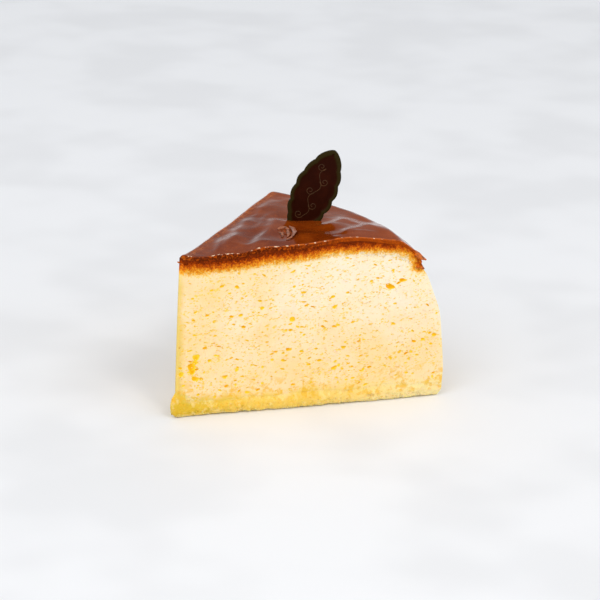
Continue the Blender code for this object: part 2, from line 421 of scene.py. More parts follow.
@dataclass
class WedgeMesh:
    """A closed wedge as a block of steps along its length, up its height and across its angle."""

    columns: int
    rows: int
    slices: int
    point_step: float = 0.0033
    point_steps: int = 7
    crowding: float = 0.2

    def __post_init__(self) -> None:
        """Works out the steps along, with fine ones at the point."""
        fine = self.point_step * np.arange(self.point_steps)
        even = crowded(self.columns, self.crowding)
        self.along = np.concatenate([fine, even[even > fine[-1] + self.point_step]])
        self.columns = len(self.along) - 1

    def places(self) -> list[tuple[int, int, int]]:
        """The surface's corners as steps along, up and across, with one set for the vertical edge.

        Returns:
            The corners, each once.
        """
        found = {}
        for i, j, k in product(range(self.columns + 1), range(self.rows + 1), range(self.slices + 1)):
            if not (0 < j < self.rows and 0 < k < self.slices and i < self.columns):
                found[(i, j, 0 if i == 0 else k)] = None
        return list(found)

    def faces(self, index: dict[tuple[int, int, int], int]) -> list[list[int]]:
        """The surface's faces as lists of vertex numbers, all pointing out.

        Args:
            index: the vertex number of each corner.

        Returns:
            One list for each face.
        """
        def patch(*keys: tuple[int, int, int]) -> list[int]:
            """One face, with the vertical edge's corners counted once."""
            return list(dict.fromkeys(index[(i, j, 0 if i == 0 else k)] for i, j, k in keys))

        n, m, s = self.columns, self.rows, self.slices
        made = []
        for i in range(n):
            for k in range(s):
                made.append(patch((i, 0, k), (i, 0, k + 1), (i + 1, 0, k + 1), (i + 1, 0, k)))
                made.append(patch((i, m, k), (i + 1, m, k), (i + 1, m, k + 1), (i, m, k + 1)))
            for j in range(m):
                made.append(patch((i, j, 0), (i + 1, j, 0), (i + 1, j + 1, 0), (i, j + 1, 0)))
                made.append(patch((i, j, s), (i, j + 1, s), (i + 1, j + 1, s), (i + 1, j, s)))
        for j in range(m):
            for k in range(s):
                made.append(patch((n, j, k), (n, j, k + 1), (n, j + 1, k + 1), (n, j + 1, k)))
        return made

    def steps(self) -> tuple[list[tuple[int, int, int]], np.ndarray, np.ndarray, np.ndarray]:
        """The corners, and their shares along, up and across.

        Returns:
            The corners and three shares for each, the last one from -1 to 1.
        """
        keys = self.places()
        up = crowded(self.rows, self.crowding)
        u = np.array([self.along[i] for i, _, _ in keys])
        v = np.array([up[j] for _, j, _ in keys])
        w = np.array([2 * k / self.slices - 1 if i else 0.0 for i, _, k in keys])
        return keys, u, v, w

    def thing(self, name: str, surface: Callable[..., np.ndarray]) -> Thing:
        """The wedge as an object.

        Args:
            name: the object's name.
            surface: gives the surface's places from shares along, up and across.

        Returns:
            The object, its normals out.
        """
        keys, *shares = self.steps()
        mesh = bpy.data.meshes.new(name)
        faces = self.faces({key: number for number, key in enumerate(keys)})
        mesh.from_pydata(surface(*shares).tolist(), [], faces)
        mesh.validate()
        body = bmesh.new()
        body.from_mesh(mesh)
        bmesh.ops.recalc_face_normals(body, faces=body.faces)
        body.to_mesh(mesh)
        body.free()
        return link(name, mesh)


# Node trees


class Value:
    """One number or shape in a node tree, which takes part in sums and products."""

    def __init__(self, nodes: "Nodes", socket: Socket) -> None:
        """Wraps an output of a tree."""
        self.nodes, self.socket = nodes, socket

    def __add__(self, other: object) -> "Value":
        """The sum with another value."""
        return self.nodes.math("ADD", self, other)

    def __mul__(self, other: object) -> "Value":
        """The product with another value."""
        return self.nodes.math("MULTIPLY", self, other)

    def __sub__(self, other: object) -> "Value":
        """What is left after another value is taken off."""
        return self.nodes.math("SUBTRACT", self, other)

    def __rsub__(self, other: object) -> "Value":
        """What is left of another value when this one is taken off."""
        return self.nodes.math("SUBTRACT", other, self)


class Nodes:
    """A node tree that grows by short calls."""

    def __init__(self, tree: bpy.types.NodeTree) -> None:
        """Starts on a tree."""
        self.tree = tree

    def put(self, socket: Socket, value: object) -> None:
        """Links a socket to another one, or sets it.

        Args:
            socket: the socket.
            value: a value of the tree, another socket, or a plain value.
        """
        source = value.socket if isinstance(value, Value) else value
        if isinstance(source, Socket):
            self.tree.links.new(source, socket)
        else:
            socket.default_value = source

    def add(self, output: str | int, kind: str, inputs: dict[str | int, object], **settings: object) -> Value:
        """Adds a node.

        Args:
            output: which of its outputs to hand back.
            kind: its type.
            inputs: what each input is linked or set to.
            settings: the node's own settings.

        Returns:
            The output.
        """
        node = self.tree.nodes.new(kind)
        for name, setting in settings.items():
            setattr(node, name, setting)
        for name, value in inputs.items():
            self.put(node.inputs[name], value)
        return Value(self, node.outputs[output])

    def math(self, operation: str, a: object, b: object) -> Value:
        """One sum of two values."""
        return self.add("Value", "ShaderNodeMath", {0: a, 1: b}, operation=operation)


# Materials


class Graph(Nodes):
    """One material's nodes, added to a Principled shader."""

    def __init__(self, name: str) -> None:
        """Starts a material."""
        self.material = bpy.data.materials.new(name)
        self.material.use_nodes = True
        super().__init__(self.material.node_tree)
        self.shader = self.tree.nodes["Principled BSDF"]
        self.place = self.add("Object", "ShaderNodeTexCoord", {})

    def set(self, **values: object) -> bpy.types.Material:
        """Sets or links the shader's own sockets.

        Args:
            values: what each socket takes, by its name with underscores.

        Returns:
            The material.
        """
        for name, value in values.items():
            self.put(self.shader.inputs[name.replace("_", " ")], value)
        return self.material

    def noise(self, size: float, detail: float = 2.0, rough: float = 0.5, seed: float = 0.0,
              squash: float = 1.0) -> Value:
        """Noise whose patches are about size millimetres across.

        Args:
            size: a patch's size.
            detail: octaves.
            rough: the finer octaves' share.
            seed: picks a pattern.
            squash: how many times flatter than wide the patches are.

        Returns:
            The noise, mostly from 0.3 to 0.7.
        """
        place = self.place
        if squash != 1:
            place = self.add("Vector", "ShaderNodeMapping", {"Vector": place, "Scale": (1, 1, squash)})
        inputs = {"Vector": place, "W": seed, "Scale": 1 / (size * MM), "Detail": detail, "Roughness": rough}
        return self.add("Fac", "ShaderNodeTexNoise", inputs, noise_dimensions="4D")

    def attribute(self, name: str) -> Value:
        """A number kept on the piece's vertices."""
        return self.add("Fac", "ShaderNodeAttribute", {}, attribute_name=name)

    def fade(self, value: object, low: float, high: float) -> Value:
        """A smooth step from 0 at low to 1 at high; high may be the lower one.

        Args:
            value: what to read.
            low: where the step is 0.
            high: where it is 1.

        Returns:
            The step.
        """
        ends = (low, high, 0.0, 1.0) if high > low else (high, low, 1.0, 0.0)
        inputs = dict(zip(("From Min", "From Max", "To Min", "To Max"), ends))
        return self.add("Result", "ShaderNodeMapRange", {"Value": value, **inputs},
                        interpolation_type="SMOOTHSTEP")

    def mix(self, share: object, a: object, b: object) -> Value:
        """One colour turning into another; plain colours are given in sRGB.

        Args:
            share: how much of the second.
            a: first colour.
            b: second colour.

        Returns:
            The colour.
        """
        a, b = (linear(colour) if isinstance(colour, tuple) else colour for colour in (a, b))
        return self.add(2, "ShaderNodeMix", {0: share, 6: a, 7: b}, data_type="RGBA")

    def ramp(self, share: object, stops: tuple[tuple[float, Colour], ...]) -> Value:
        """A row of sRGB colours along a share.

        Args:
            share: what to read.
            stops: places and colours, in order.

        Returns:
            The colour.
        """
        made = self.add("Color", "ShaderNodeValToRGB", {"Fac": share})
        row = made.socket.node.color_ramp.elements
        while len(row) < len(stops):
            row.new(0.5)
        for element, (at, colour) in zip(row, stops):
            element.position, element.color = at, linear(colour)
        return made

    def part(self, axis: str) -> Value:
        """One coordinate of a place, in metres."""
        return self.add(axis, "ShaderNodeSeparateXYZ", {"Vector": self.place})

    def height(self) -> Value:
        """How high a place is above the plate, in millimetres."""
        return self.part("Z") * (1 / MM)

    def along(self) -> Value:
        """How far a place is from the slice's point along X, in millimetres."""
        return (self.part("X") - FORM.point_x) * (1 / MM)

    def bump(self, height: object, distance: float, strength: float) -> None:
        """Raises the surface's shading by a height, with distance in metres for a height of 1."""
        inputs = {"Strength": strength, "Distance": distance, "Height": height}
        self.put(self.shader.inputs["Normal"], self.add("Normal", "ShaderNodeBump", inputs))


@dataclass(frozen=True)
class Cream:
    """The pale cream of crumb and sponge, which runs on from one to the other."""

    pale: Colour = (252, 229, 195)
    warm: Colour = (252, 217, 159)
    high: Colour = (253, 237, 212)
    fleck: Colour = (250, 206, 56)
    # Painted shade of the rounded vertical edge at the point.
    edge: Colour = (230, 200, 100)
    foot_point: Colour = (228, 188, 48)
    foot_middle: Colour = (244, 204, 92)
    foot_outer: Colour = (252, 226, 162)
    blotch: Colour = (242, 188, 46)

    def colour(self, g: Graph) -> Value:
        """Adds the nodes for the cream's colour.

        Args:
            g: the graph to add to.

        Returns:
            The colour.
        """
        z, x = g.height(), g.along()
        body = g.mix(g.fade(g.noise(12, 3.0), 0.36, 0.66), self.pale, self.warm)
        lower = g.fade(z, 40.0, 8.0) * 0.6
        body = g.mix(g.math("MAXIMUM", lower, g.fade(x, 26.0, 4.0) * 0.5), body, self.warm)
        body = g.mix(g.fade(x, 14.0, 56.0) * g.fade(z, 16.0, 42.0) * 0.7, body, self.high)
        crowd = g.fade(g.noise(6, seed=7.0), 0.3, 0.56)
        fleck = g.fade(g.noise(0.85, seed=3.0, squash=1.9), 0.57, 0.63)
        body = g.mix(fleck * crowd * 0.85, body, self.fleck)
        # Painted shade: the rounded vertical edge within about 5 mm of the point is drawn a darker yellow.
        body = g.mix(g.fade(x + g.noise(4) * 3.0, 5.2, 2.4) * 0.85, body, self.edge)
        foot = g.mix(g.fade(x, 2.0, 26.0), self.foot_point, self.foot_middle)
        foot = g.mix(g.fade(x, 34.0, 80.0), foot, self.foot_outer)
        body = g.mix(g.fade(z + g.noise(5, 3.0, 0.6, 1.0) * 8.0, 13.0, 7.5), body, foot)
        blotch = g.fade(g.noise(2.7, 4.0, 0.7, 4.0), 0.49, 0.6)
        band = g.fade(z, 15.0, 6.0) * g.fade(z, 1.2, 3.2)
        return g.mix(blotch * band * 0.8, body, self.blotch)


@dataclass(frozen=True)
class CrumbFinish:
    """Pale airy crumb: tiny open cells, saturated hollows, a moist foot and a browned upper edge."""

    # The hollows' yellow is partly the cells' own colour and partly painted bounce light, with painted shade
    # deeper in.
    hollow: Colour = (253, 216, 52)
    deep_hollow_tint_and_shade: Colour = (250, 184, 2)
    roughness: float = 0.6
    crust: tuple[tuple[float, Colour], ...] = (
        (0.0, (92, 30, 2)), (0.26, (120, 42, 2)), (0.38, (154, 57, 2)), (0.50, (194, 84, 2)),
        (0.63, (228, 124, 6)), (0.78, (248, 170, 36)), (0.94, (254, 208, 104)),
    )

    def material(self) -> bpy.types.Material:
        """Makes the material, with the crust's colour laid unevenly over the cream.

        Returns:
            The material.
        """
        g = Graph("crumb")
        pit, skin = g.attribute("pit"), g.attribute("crust")
        # Painted bounce light and shade: hollows turn a more saturated, darker yellow with depth, over the
        # cells' own yellow.
        body = g.mix(g.fade(pit, 0.01, 0.16), Cream().colour(g), self.hollow)
        body = g.mix(g.fade(pit, 0.15, 0.5), body, self.deep_hollow_tint_and_shade)
        coarse = (g.noise(1.7, 3.0, 0.6) - 0.5) * 0.7
        fine = (g.noise(0.55, 2.0, 0.6, 5.0) - 0.5) * 0.75
        crust = skin + (coarse + fine)
        body = g.mix(g.fade(crust, 1.12, 0.82), body, g.ramp(crust, self.crust))
        wet = g.fade(skin, 0.8, 0.3)
        g.bump(g.noise(0.42, 3.0, 0.65), 0.22 * MM, 0.8)
        return g.set(Base_Color=body, Roughness=self.roughness - wet * 0.25, IOR=1.4,
                     Specular_IOR_Level=0.25 - wet * 0.19, Subsurface_Weight=0.3 - wet * 0.28,
                     Subsurface_Radius=(1.0, 0.6, 0.25), Subsurface_Scale=1.6 * MM)


@dataclass(frozen=True)
class SpongeFinish:
    """Moist yellow sponge that the cream runs into, with paler crumbs and small darker cells."""

    under: Colour = (232, 190, 112)
    cell: Colour = (226, 166, 26)
    crumb: Colour = (253, 229, 158)

    def material(self) -> bpy.types.Material:
        """Makes the material, palest where dry crumbs show at the foot.

        Returns:
            The material.
        """
        g = Graph("sponge")
        body = g.mix(g.fade(g.noise(1.9, 3.0, 0.6, 14.0), 0.5, 0.66) * 0.55, Cream().colour(g), self.crumb)
        low = g.height() + g.noise(1.4, seed=15.0) * 1.6
        body = g.mix(g.fade(low, 2.0, 0.9) * 0.6, body, self.crumb)
        body = g.mix(g.fade(g.noise(0.9, seed=16.0), 0.62, 0.7) * 0.6, body, self.cell)
        body = g.mix(g.fade(g.height(), 0.2, 0.0) * 0.6, body, self.under)
        g.bump(g.noise(0.5, 3.0, 0.65) + g.noise(1.6), 0.35 * MM, 1.0)
        return g.set(Base_Color=body, Roughness=0.5, IOR=1.4, Specular_IOR_Level=0.3, Subsurface_Weight=0.4,
                     Subsurface_Radius=(1.0, 0.65, 0.2), Subsurface_Scale=2.0 * MM)


@dataclass(frozen=True)
class GlazeFinish:
    """A clear amber glaze over browned skin: gloss, a deep brown body and worn, amber edges."""

    deep: Colour = (108, 37, 2)
    light: Colour = (134, 55, 6)
    outer: Colour = (158, 69, 6)
    thin: Colour = (180, 92, 24)
    amber: Colour = (196, 92, 10)
    rim: Colour = (76, 23, 2)
    rim_outer: Colour = (142, 58, 4)
    rim_light: Colour = (168, 70, 6)
    # Painted glints: pale dashes on the rim stand in for small reflections of the lights.
    painted_glint: Colour = (250, 214, 180)
    gleam: Colour = (255, 238, 216)
    roughness: float = 0.1

    def material(self) -> bpy.types.Material:
        """Makes the material: the body, then the rim, its painted glints and the worn far edge.

        Returns:
            The material.
        """
        g = Graph("glaze")
        x, rim = g.along(), g.attribute("rim")
        body = g.mix(g.fade(g.noise(9, 4.0, 0.6), 0.35, 0.68), self.deep, self.light)
        body = g.mix(g.fade(x, 42.0, 74.0) * 0.5, body, self.outer)
        body = g.mix(g.fade(g.noise(0.5, 2.0, 0.6, 2.0), 0.48, 0.7) * 0.22, body, self.thin)
        streak = g.fade(g.noise(2, 3.0, 0.65, 12.0), 0.4, 0.56) * g.fade(x, 20.0, 34.0)
        grain = g.fade(g.noise(0.7, 3.0, 0.65, 21.0), 0.46, 0.6)
        dark = g.mix(g.fade(x, 30.0, 58.0), self.rim, self.rim_outer)
        body = g.mix(g.fade(rim, 0.2, 0.6) * 0.9, body, g.mix(grain, dark, self.rim_light))
        amber = g.fade(rim, 0.0, 0.25) * g.fade(rim, 0.8, 0.4) * streak
        body = g.mix(amber * 0.85, body, self.amber)
        # Painted glints: pale dashes on the rim's upper part, standing in for small reflections of the
        # lights.
        glint_dash = g.fade(g.noise(1.05, 1.0, 0.5, 23.0), 0.575, 0.62)
        body = g.mix(g.fade(rim, 0.1, 0.25) * g.fade(rim, 0.65, 0.45) * glint_dash * 0.8, body, self.painted_glint)
        worn = g.fade(g.noise(1.3, 4.0, 0.7, 9.0), 0.44, 0.6)
        far = g.fade(g.attribute("far"), 0.95, 0.1) * 0.85
        body = g.mix(worn * far, body, self.thin)
        dull = g.math("MAXIMUM", far * 0.3, g.fade(rim, 0.45, 0.8) * 0.4)
        g.bump(g.noise(2.2) + g.noise(0.6) * 0.3, 0.11 * MM, 0.5)
        return g.set(Base_Color=body, Roughness=dull + self.roughness, IOR=1.45,
                     Specular_IOR_Level=0.42 - g.fade(rim, 0.3, 0.65) * 0.38,
                     Specular_Tint=linear(self.gleam))


@dataclass(frozen=True)
class LeafFinish:
    """Dark moulded chocolate: a red-brown panel in an olive-black rim."""

    panel: Colour = (40, 9, 1)
    panel_light: Colour = (48, 13, 2)
    rim: Colour = (45, 36, 11)

    def material(self) -> bpy.types.Material:
        """Makes the material, its rim marked by the leaf's vertices.

        Returns:
            The material.
        """
        g = Graph("dark_leaf")
        body = g.mix(g.fade(g.noise(3.5, 3.0), 0.4, 0.7), self.panel, self.panel_light)
        body = g.mix(g.attribute("rim"), body, self.rim)
        g.bump(g.noise(0.8, 3.0, 0.6), 0.05 * MM, 0.6)
        return g.set(Base_Color=body, Roughness=0.45, IOR=1.45, Specular_IOR_Level=0.05)


@dataclass(frozen=True)
class PlainFinish:
    """One colour with a soft variation in patches of some millimetres, for the floor and for thin trim."""

    name: str
    colour: Colour
    roughness: float
    variation: float = 0.97
    patch: float = 60.0

    def material(self) -> bpy.types.Material:
        """Makes the material, its darker patches a share of the colour.

        Returns:
            The material.
        """
        g = Graph(self.name)
        darker = tuple(self.variation * c for c in self.colour)
        body = g.mix(g.fade(g.noise(self.patch), 0.4, 0.65), self.colour, darker)
        return g.set(Base_Color=body, Roughness=self.roughness, Specular_IOR_Level=0.2)


# Geometry Nodes


class Tree(Nodes):
    """A Geometry Nodes tree with named inputs, which ends in realized instances with their finish."""

    INPUTS = (("Finish", "Material"), ("Unevenness", "Float"), ("Seed", "Int"), ("Spots", "Object"))

    def __init__(self, name: str) -> None:
        """Builds the tree with named inputs for what changes.

        Args:
            name: the tree's name.
        """
        super().__init__(bpy.data.node_groups.new(name, "GeometryNodeTree"))
        ports = self.tree.interface
        for way in ("INPUT", "OUTPUT"):
            ports.new_socket("Geometry", in_out=way, socket_type="NodeSocketGeometry")
        self.sockets = {label: ports.new_socket(label, in_out="INPUT", socket_type="NodeSocket" + kind)
                        for label, kind in self.INPUTS}
        self.enter = self.tree.nodes.new("NodeGroupInput").outputs
        realized = self.add("Geometry", "GeometryNodeRealizeInstances", {"Geometry": self.build()})
        dressed = self.add("Geometry", "GeometryNodeSetMaterial",
                           {"Geometry": realized, "Material": self.enter["Finish"]})
        self.put(self.tree.nodes.new("NodeGroupOutput").inputs["Geometry"], dressed)

    def named(self, name: str, kind: str) -> Value:
        """Reads a named attribute of the spots, of a data type."""
        return self.add("Attribute", "GeometryNodeInputNamedAttribute", {"Name": name}, data_type=kind)

    def blob(self, number: int, detail: int) -> Value:
        """One uneven ball of radius 1.

        Args:
            number: picks its shape.
            detail: subdivisions.

        Returns:
            The ball as an instance.
        """
        seed = self.math("ADD", self.enter["Seed"], 7.3 * number)
        pattern = self.add("Color", "ShaderNodeTexNoise", {"Scale": 1.15, "W": seed}, noise_dimensions="4D")
        centred = self.add("Vector", "ShaderNodeVectorMath", {0: pattern, 1: (0.5, 0.5, 0.5)},
                           operation="SUBTRACT")
        push = self.add("Vector", "ShaderNodeVectorMath", {0: centred, "Scale": self.enter["Unevenness"]},
                        operation="SCALE")
        ball = self.add("Mesh", "GeometryNodeMeshIcoSphere", {"Subdivisions": detail})
        moved = self.add("Geometry", "GeometryNodeSetPosition", {"Geometry": ball, "Offset": push})
        return self.add("Instances", "GeometryNodeGeometryToInstance", {"Geometry": moved})

    def scatter(self, points: object, blobs: list[Value], pick: Value, turn: Value, size: Value) -> Value:
        """Sets one of the blobs on each point.

        Args:
            points: the points.
            blobs: the blobs to pick from.
            pick: the number of the blob at each point.
            turn: its turn.
            size: its size.

        Returns:
            The blobs as instances.
        """
        joined = self.add("Geometry", "GeometryNodeJoinGeometry", {})
        for blob in blobs:
            self.put(joined.socket.node.inputs["Geometry"], blob)
        return self.add("Instances", "GeometryNodeInstanceOnPoints", {
            "Points": points, "Instance": joined, "Pick Instance": True, "Instance Index": pick,
            "Rotation": turn, "Scale": size})

    def build(self) -> Value:
        """Adds the tree's own nodes and hands back their geometry."""
        raise NotImplementedError

    def apply(self, thing: Thing, **values: object) -> None:
        """Runs the tree on a piece and keeps the result as its plain mesh.

        Args:
            thing: the piece.
            values: the tree's inputs by name.
        """
        modifier = thing.modifiers.new("nodes", "NODES")
        modifier.node_group = self.tree
        for name, value in values.items():
            modifier[self.sockets[name].identifier] = value
        bpy.context.view_layer.update()
        graph = bpy.context.evaluated_depsgraph_get()
        mesh = bpy.data.meshes.new_from_object(thing.evaluated_get(graph))
        thing.modifiers.clear()
        mesh.materials.clear()
        mesh.materials.append(values["Finish"])
        mesh.polygons.foreach_set("material_index", [0] * len(mesh.polygons))
        thing.data = mesh


class HoleTree(Tree):
    """Sinks uneven hollows into a piece at the vertices of another."""

    SMALL = 6
    LARGE = 5

    def build(self) -> Value:
        """Sets a blob on each spot and cuts them all out of the piece.

        Returns:
            The piece with its hollows.
        """
        blobs = [self.blob(number, 1 if number < self.SMALL else 2)
                 for number in reversed(range(self.SMALL + self.LARGE))]
        spots = self.add("Geometry", "GeometryNodeObjectInfo", {"Object": self.enter["Spots"]})
        hollows = self.scatter(spots, blobs, self.named("shape", "INT"), self.named("turn", "FLOAT_VECTOR"),
                               self.named("size", "FLOAT_VECTOR"))
        pair = {"Mesh 1": self.enter["Geometry"], "Mesh 2": hollows}
        return self.add("Mesh", "GeometryNodeMeshBoolean", pair, operation="DIFFERENCE", solver="MANIFOLD")


class GrainTree(Tree):
    """Sets an uneven grain on every vertex of a piece, turned by chance."""

    KINDS = 5
    FULL_TURN = 6.28

    def build(self) -> Value:
        """Sets a blob on each vertex, picked and turned by chance.

        Returns:
            The grains.
        """
        chance = {"Seed": self.enter["Seed"]}
        pick = self.add(2, "FunctionNodeRandomValue", {4: 0, 5: self.KINDS - 1, **chance}, data_type="INT")
        turn = self.add(0, "FunctionNodeRandomValue", {1: (self.FULL_TURN,) * 3, **chance},
                        data_type="FLOAT_VECTOR")
        blobs = [self.blob(number, 1) for number in range(self.KINDS)]
        return self.scatter(self.enter["Geometry"], blobs, pick, turn, self.named("size", "FLOAT"))


class HoleSpots:
    """Where the hollows of a cut face lie, how large they are and how they are turned."""

    def __init__(self, seed: int) -> None:
        """Starts with no hollows.

        Args:
            seed: the seed for anything random.
        """
        self.rng = np.random.default_rng(seed)
        self.kept: list[tuple[np.ndarray, ...]] = []

    def add(self, face: Face, rows: np.ndarray, tilt: float, deep: tuple[float, float], large: bool) -> None:
        """Adds hollows, half sunk in a cut face.

        Args:
            face: the cut face.
            rows: distance from the point, height, width along the face and size up it, for each.
            tilt: spread of the turns in the face's plane.
            deep: least and most reach into the face, as shares of the width.
            large: whether they take the finer blobs.
        """
        count, (along, height, width, tall) = len(rows), rows.T
        sizes = np.stack([width / 2, width * self.rng.uniform(*deep, count), tall / 2], 1)
        base = Matrix.Rotation(face.value * FORM.half, 3, "Z")
        turns = [(base @ Matrix.Rotation(turn, 3, "Y")).to_euler("XYZ")
                 for turn in self.rng.normal(0, tilt, count)]
        first, some = (HoleTree.SMALL, HoleTree.LARGE) if large else (0, HoleTree.SMALL)
        shapes = first + self.rng.integers(0, some, count)
        self.kept.append((FORM.on_face(face, along, height), sizes, np.array(turns), shapes))

    def thing(self, name: str) -> Thing:
        """The spots as a mesh of loose vertices with sizes, turns and shapes, never shown.

        Args:
            name: the object's name.

        Returns:
            The object.
        """
        places, sizes, turns, shapes = (np.concatenate(rows) for rows in zip(*self.kept))
        mesh = bpy.data.meshes.new(name)
        mesh.from_pydata(places.tolist(), [], [])
        store(mesh, "size", sizes, "FLOAT_VECTOR")
        store(mesh, "turn", turns, "FLOAT_VECTOR")
        store(mesh, "shape", shapes, "INT")
        thing = link(name, mesh)
        thing.hide_render = True
        return thing


# The pieces


@dataclass(frozen=True)
class Crust:
    """How deep the crumb is browned under its skin."""

    depth: Rows = mm((0.0, 6.4), (22.0, 6.2), (45.0, 5.9), (68.0, 5.1), (91.5, 4.3))
    shoulder: tuple[float, float] = (70 * MM, 80 * MM)
    shoulder_light: float = 0.42

    def share(self, points: np.ndarray) -> np.ndarray:
        """How deep points lie under the browned skin.

        Args:
            points: rows of places.

        Returns:
            0 at the skin, 1 where the crumb is pale.
        """
        radius, _, _ = FORM.polar(points)
        lighter = self.shoulder_light * step(*self.shoulder, radius)
        return lighter + (1 - 0.6 * lighter) * FORM.skin_distance(points) / through(self.depth, radius)


CRUST = Crust()


@dataclass(frozen=True)
class HoleKind:
    """One kind of hollow on a cut face: widths in millimetres, depth as a share of the width."""

    count: int
    widths: tuple[float, float]
    deep: tuple[float, float]
    tilt: float = 0.3
    large: bool = False


@dataclass
class Crumb:
    """The tall crumb with its open cells, under the glaze."""

    block: WedgeMesh
    glaze_depth: float = 0.45 * MM
    rind_wave: float = 0.45 * MM
    fine: HoleKind = HoleKind(1350, (0.42, 0.95), (0.26, 0.42))
    middle: HoleKind = HoleKind(330, (0.9, 2.0), (0.2, 0.32))
    coarse: HoleKind = HoleKind(24, (1.6, 3.2), (0.22, 0.34), large=True)
    unevenness: float = 1.35
    crack_step: float = 0.62
    seed: int = 27
    # Distance from the point, height, width along the face and size up it, in millimetres
    shown_holes: Rows = (
        (72.1, 39.7, 3.4, 2.0), (76.4, 41.6, 3.2, 1.3), (53.5, 34.1, 2.4, 1.1), (39.1, 30.9, 2.2, 1.9),
        (38.6, 29.3, 1.5, 0.9), (28.9, 35.4, 1.6, 1.5), (7.4, 20.1, 2.6, 2.7), (7.0, 18.4, 2.2, 1.9),
        (5.9, 16.7, 3.2, 2.9), (6.2, 15.2, 2.2, 2.2), (7.1, 12.8, 2.6, 1.9), (2.6, 14.7, 2.2, 2.1),
        (38.2, 20.4, 2.4, 1.1), (88.0, 21.7, 1.9, 1.3), (54.0, 12.8, 2.4, 1.6), (42.6, 39.8, 2.2, 0.9),
        (39.5, 42.1, 1.4, 1.0), (38.9, 47.3, 2.0, 0.9), (42.9, 36.6, 1.8, 0.8), (17.9, 41.3, 1.5, 0.8),
        (44.1, 48.9, 1.4, 0.9), (73.0, 45.2, 1.2, 1.5), (54.7, 27.7, 1.9, 0.9), (21.0, 14.7, 1.4, 2.0),
        (17.1, 12.7, 1.9, 1.6), (20.8, 9.5, 1.2, 1.2), (24.7, 6.6, 2.0, 1.2), (11.8, 18.7, 1.7, 1.1),
        (10.1, 14.8, 1.0, 1.1), (7.9, 9.5, 1.2, 1.0), (15.4, 8.2, 1.6, 0.7), (29.7, 15.0, 1.4, 1.0),
        (29.7, 9.3, 1.1, 1.2), (39.6, 9.2, 1.1, 1.1), (43.9, 35.3, 1.9, 0.8), (11.6, 42.7, 1.6, 0.7),
        (6.7, 27.8, 1.8, 0.8), (6.7, 41.2, 1.1, 0.8), (5.1, 22.7, 1.8, 0.8), (6.7, 35.7, 1.6, 0.8),
        (8.3, 36.4, 1.2, 0.8), (37.0, 16.6, 1.7, 0.6), (24.2, 24.7, 1.8, 0.6), (54.5, 15.0, 1.2, 0.9),
        (55.6, 13.6, 1.5, 1.3), (56.8, 12.2, 1.3, 0.9), (55.4, 7.6, 1.0, 1.3), (76.3, 16.6, 1.6, 1.2),
        (80.2, 16.3, 1.5, 1.0), (82.4, 15.0, 1.6, 0.8), (75.1, 14.8, 1.3, 0.9), (78.6, 12.4, 1.3, 1.0),
        (78.9, 8.9, 1.4, 0.8), (81.2, 8.4, 1.1, 0.9), (88.1, 6.9, 1.3, 1.9), (84.2, 20.3, 1.9, 1.0),
        (62.5, 23.5, 1.1, 0.8), (62.5, 22.1, 1.1, 0.9), (62.6, 20.4, 1.0, 0.8), (57.6, 21.5, 1.4, 0.8),
        (53.5, 27.3, 2.0, 0.8), (66.0, 27.1, 1.7, 0.6), (42.3, 26.0, 1.2, 0.9), (48.3, 21.5, 1.1, 0.8),
    )
    # Distance from the point, height, length and rise, in millimetres
    cracks: Rows = (
        (23.0, 32.6, 8.0, 0.7), (8.2, 27.8, 6.5, 1.4), (31.5, 31.2, 4.2, 0.8), (14.6, 36.1, 3.6, -0.4),
        (60.0, 28.5, 4.0, 0.5), (26.0, 22.2, 3.8, 0.6), (66.5, 18.4, 4.2, 0.9),
        (47.0, 41.2, 3.0, -0.3),
    )

    def points(self, u: np.ndarray, v: np.ndarray, w: np.ndarray) -> np.ndarray:
        """The crumb's surface at shares along, up and across.

        Args:
            u: shares along.
            v: shares up.
            w: shares across, -1 to 1.

        Returns:
            One row for each place.
        """
        radius = u * through(FORM.side, v)
        crown = FORM.crown(u * FORM.side[-1][1], w) - self.glaze_depth
        height = FORM.crumb_foot + v * (crown - FORM.crumb_foot)
        around = w * 40 * MM
        wrinkle = waves(around, height * 0.5, 6.5 * MM, 5.1) + 0.6 * waves(around, height, 2.4 * MM, 9.4)
        rind = self.rind_wave * step(0.93, 1.0, u) * step(1.0, 0.9, np.abs(w))
        radius = radius - rind * (0.6 + 0.6 * wrinkle) * step(1.0, 0.9, v)
        x, y = FORM.plan(radius, w, FORM.point_rounding)
        x = FORM.point_x + x + FORM.lean(v) * (1 - radius / FORM.cake_radius)
        cut = (np.abs(w) == 1) & (u > 0)
        grain = 0.07 * MM * waves(radius * w, height, 1.3 * MM, 2.2) * step(0.0, 0.03, u) * step(0, 0.1, v)
        depth = np.where(cut, FORM.knife(radius * w, height, v) + np.abs(grain), 0)
        x = x + depth * math.sin(FORM.half)
        y = y - depth * w * math.cos(FORM.half)
        return np.stack([x, y, height], 1)

    def scatter(self, spots: HoleSpots, face: Face, kind: HoleKind) -> None:
        """Draws hollows over a cut face, thicker in drifts and in its lower half.

        Args:
            spots: where to add them.
            face: the cut face.
            kind: what they are like.
        """
        rng, tries = spots.rng, 6 * kind.count
        along = rng.uniform(1.6, 90.0, tries) * MM
        height = rng.uniform(5.6, 52.5, tries) * MM
        drift = 0.5 + 0.6 * waves(along, height, 8 * MM, 3.0 * face.value)
        low = 0.5 + 0.5 * np.exp(-(((height - 16 * MM) / (16 * MM)) ** 2))
        rise = (height - FORM.crumb_foot) / (50 * MM)
        inside = along < through(FORM.side, rise) - 1.2 * MM
        kept = np.flatnonzero((rng.random(tries) < drift * low) & inside)[:kind.count]
        least, most = (width * MM for width in kind.widths)
        width = least + (most - least) * rng.random(len(kept)) ** 2.0
        tall = width * rng.uniform(0.32, 0.7, len(kept))
        rows = np.stack([along[kept], height[kept], width, tall], 1)
        spots.add(face, rows, kind.tilt, kind.deep, kind.large)

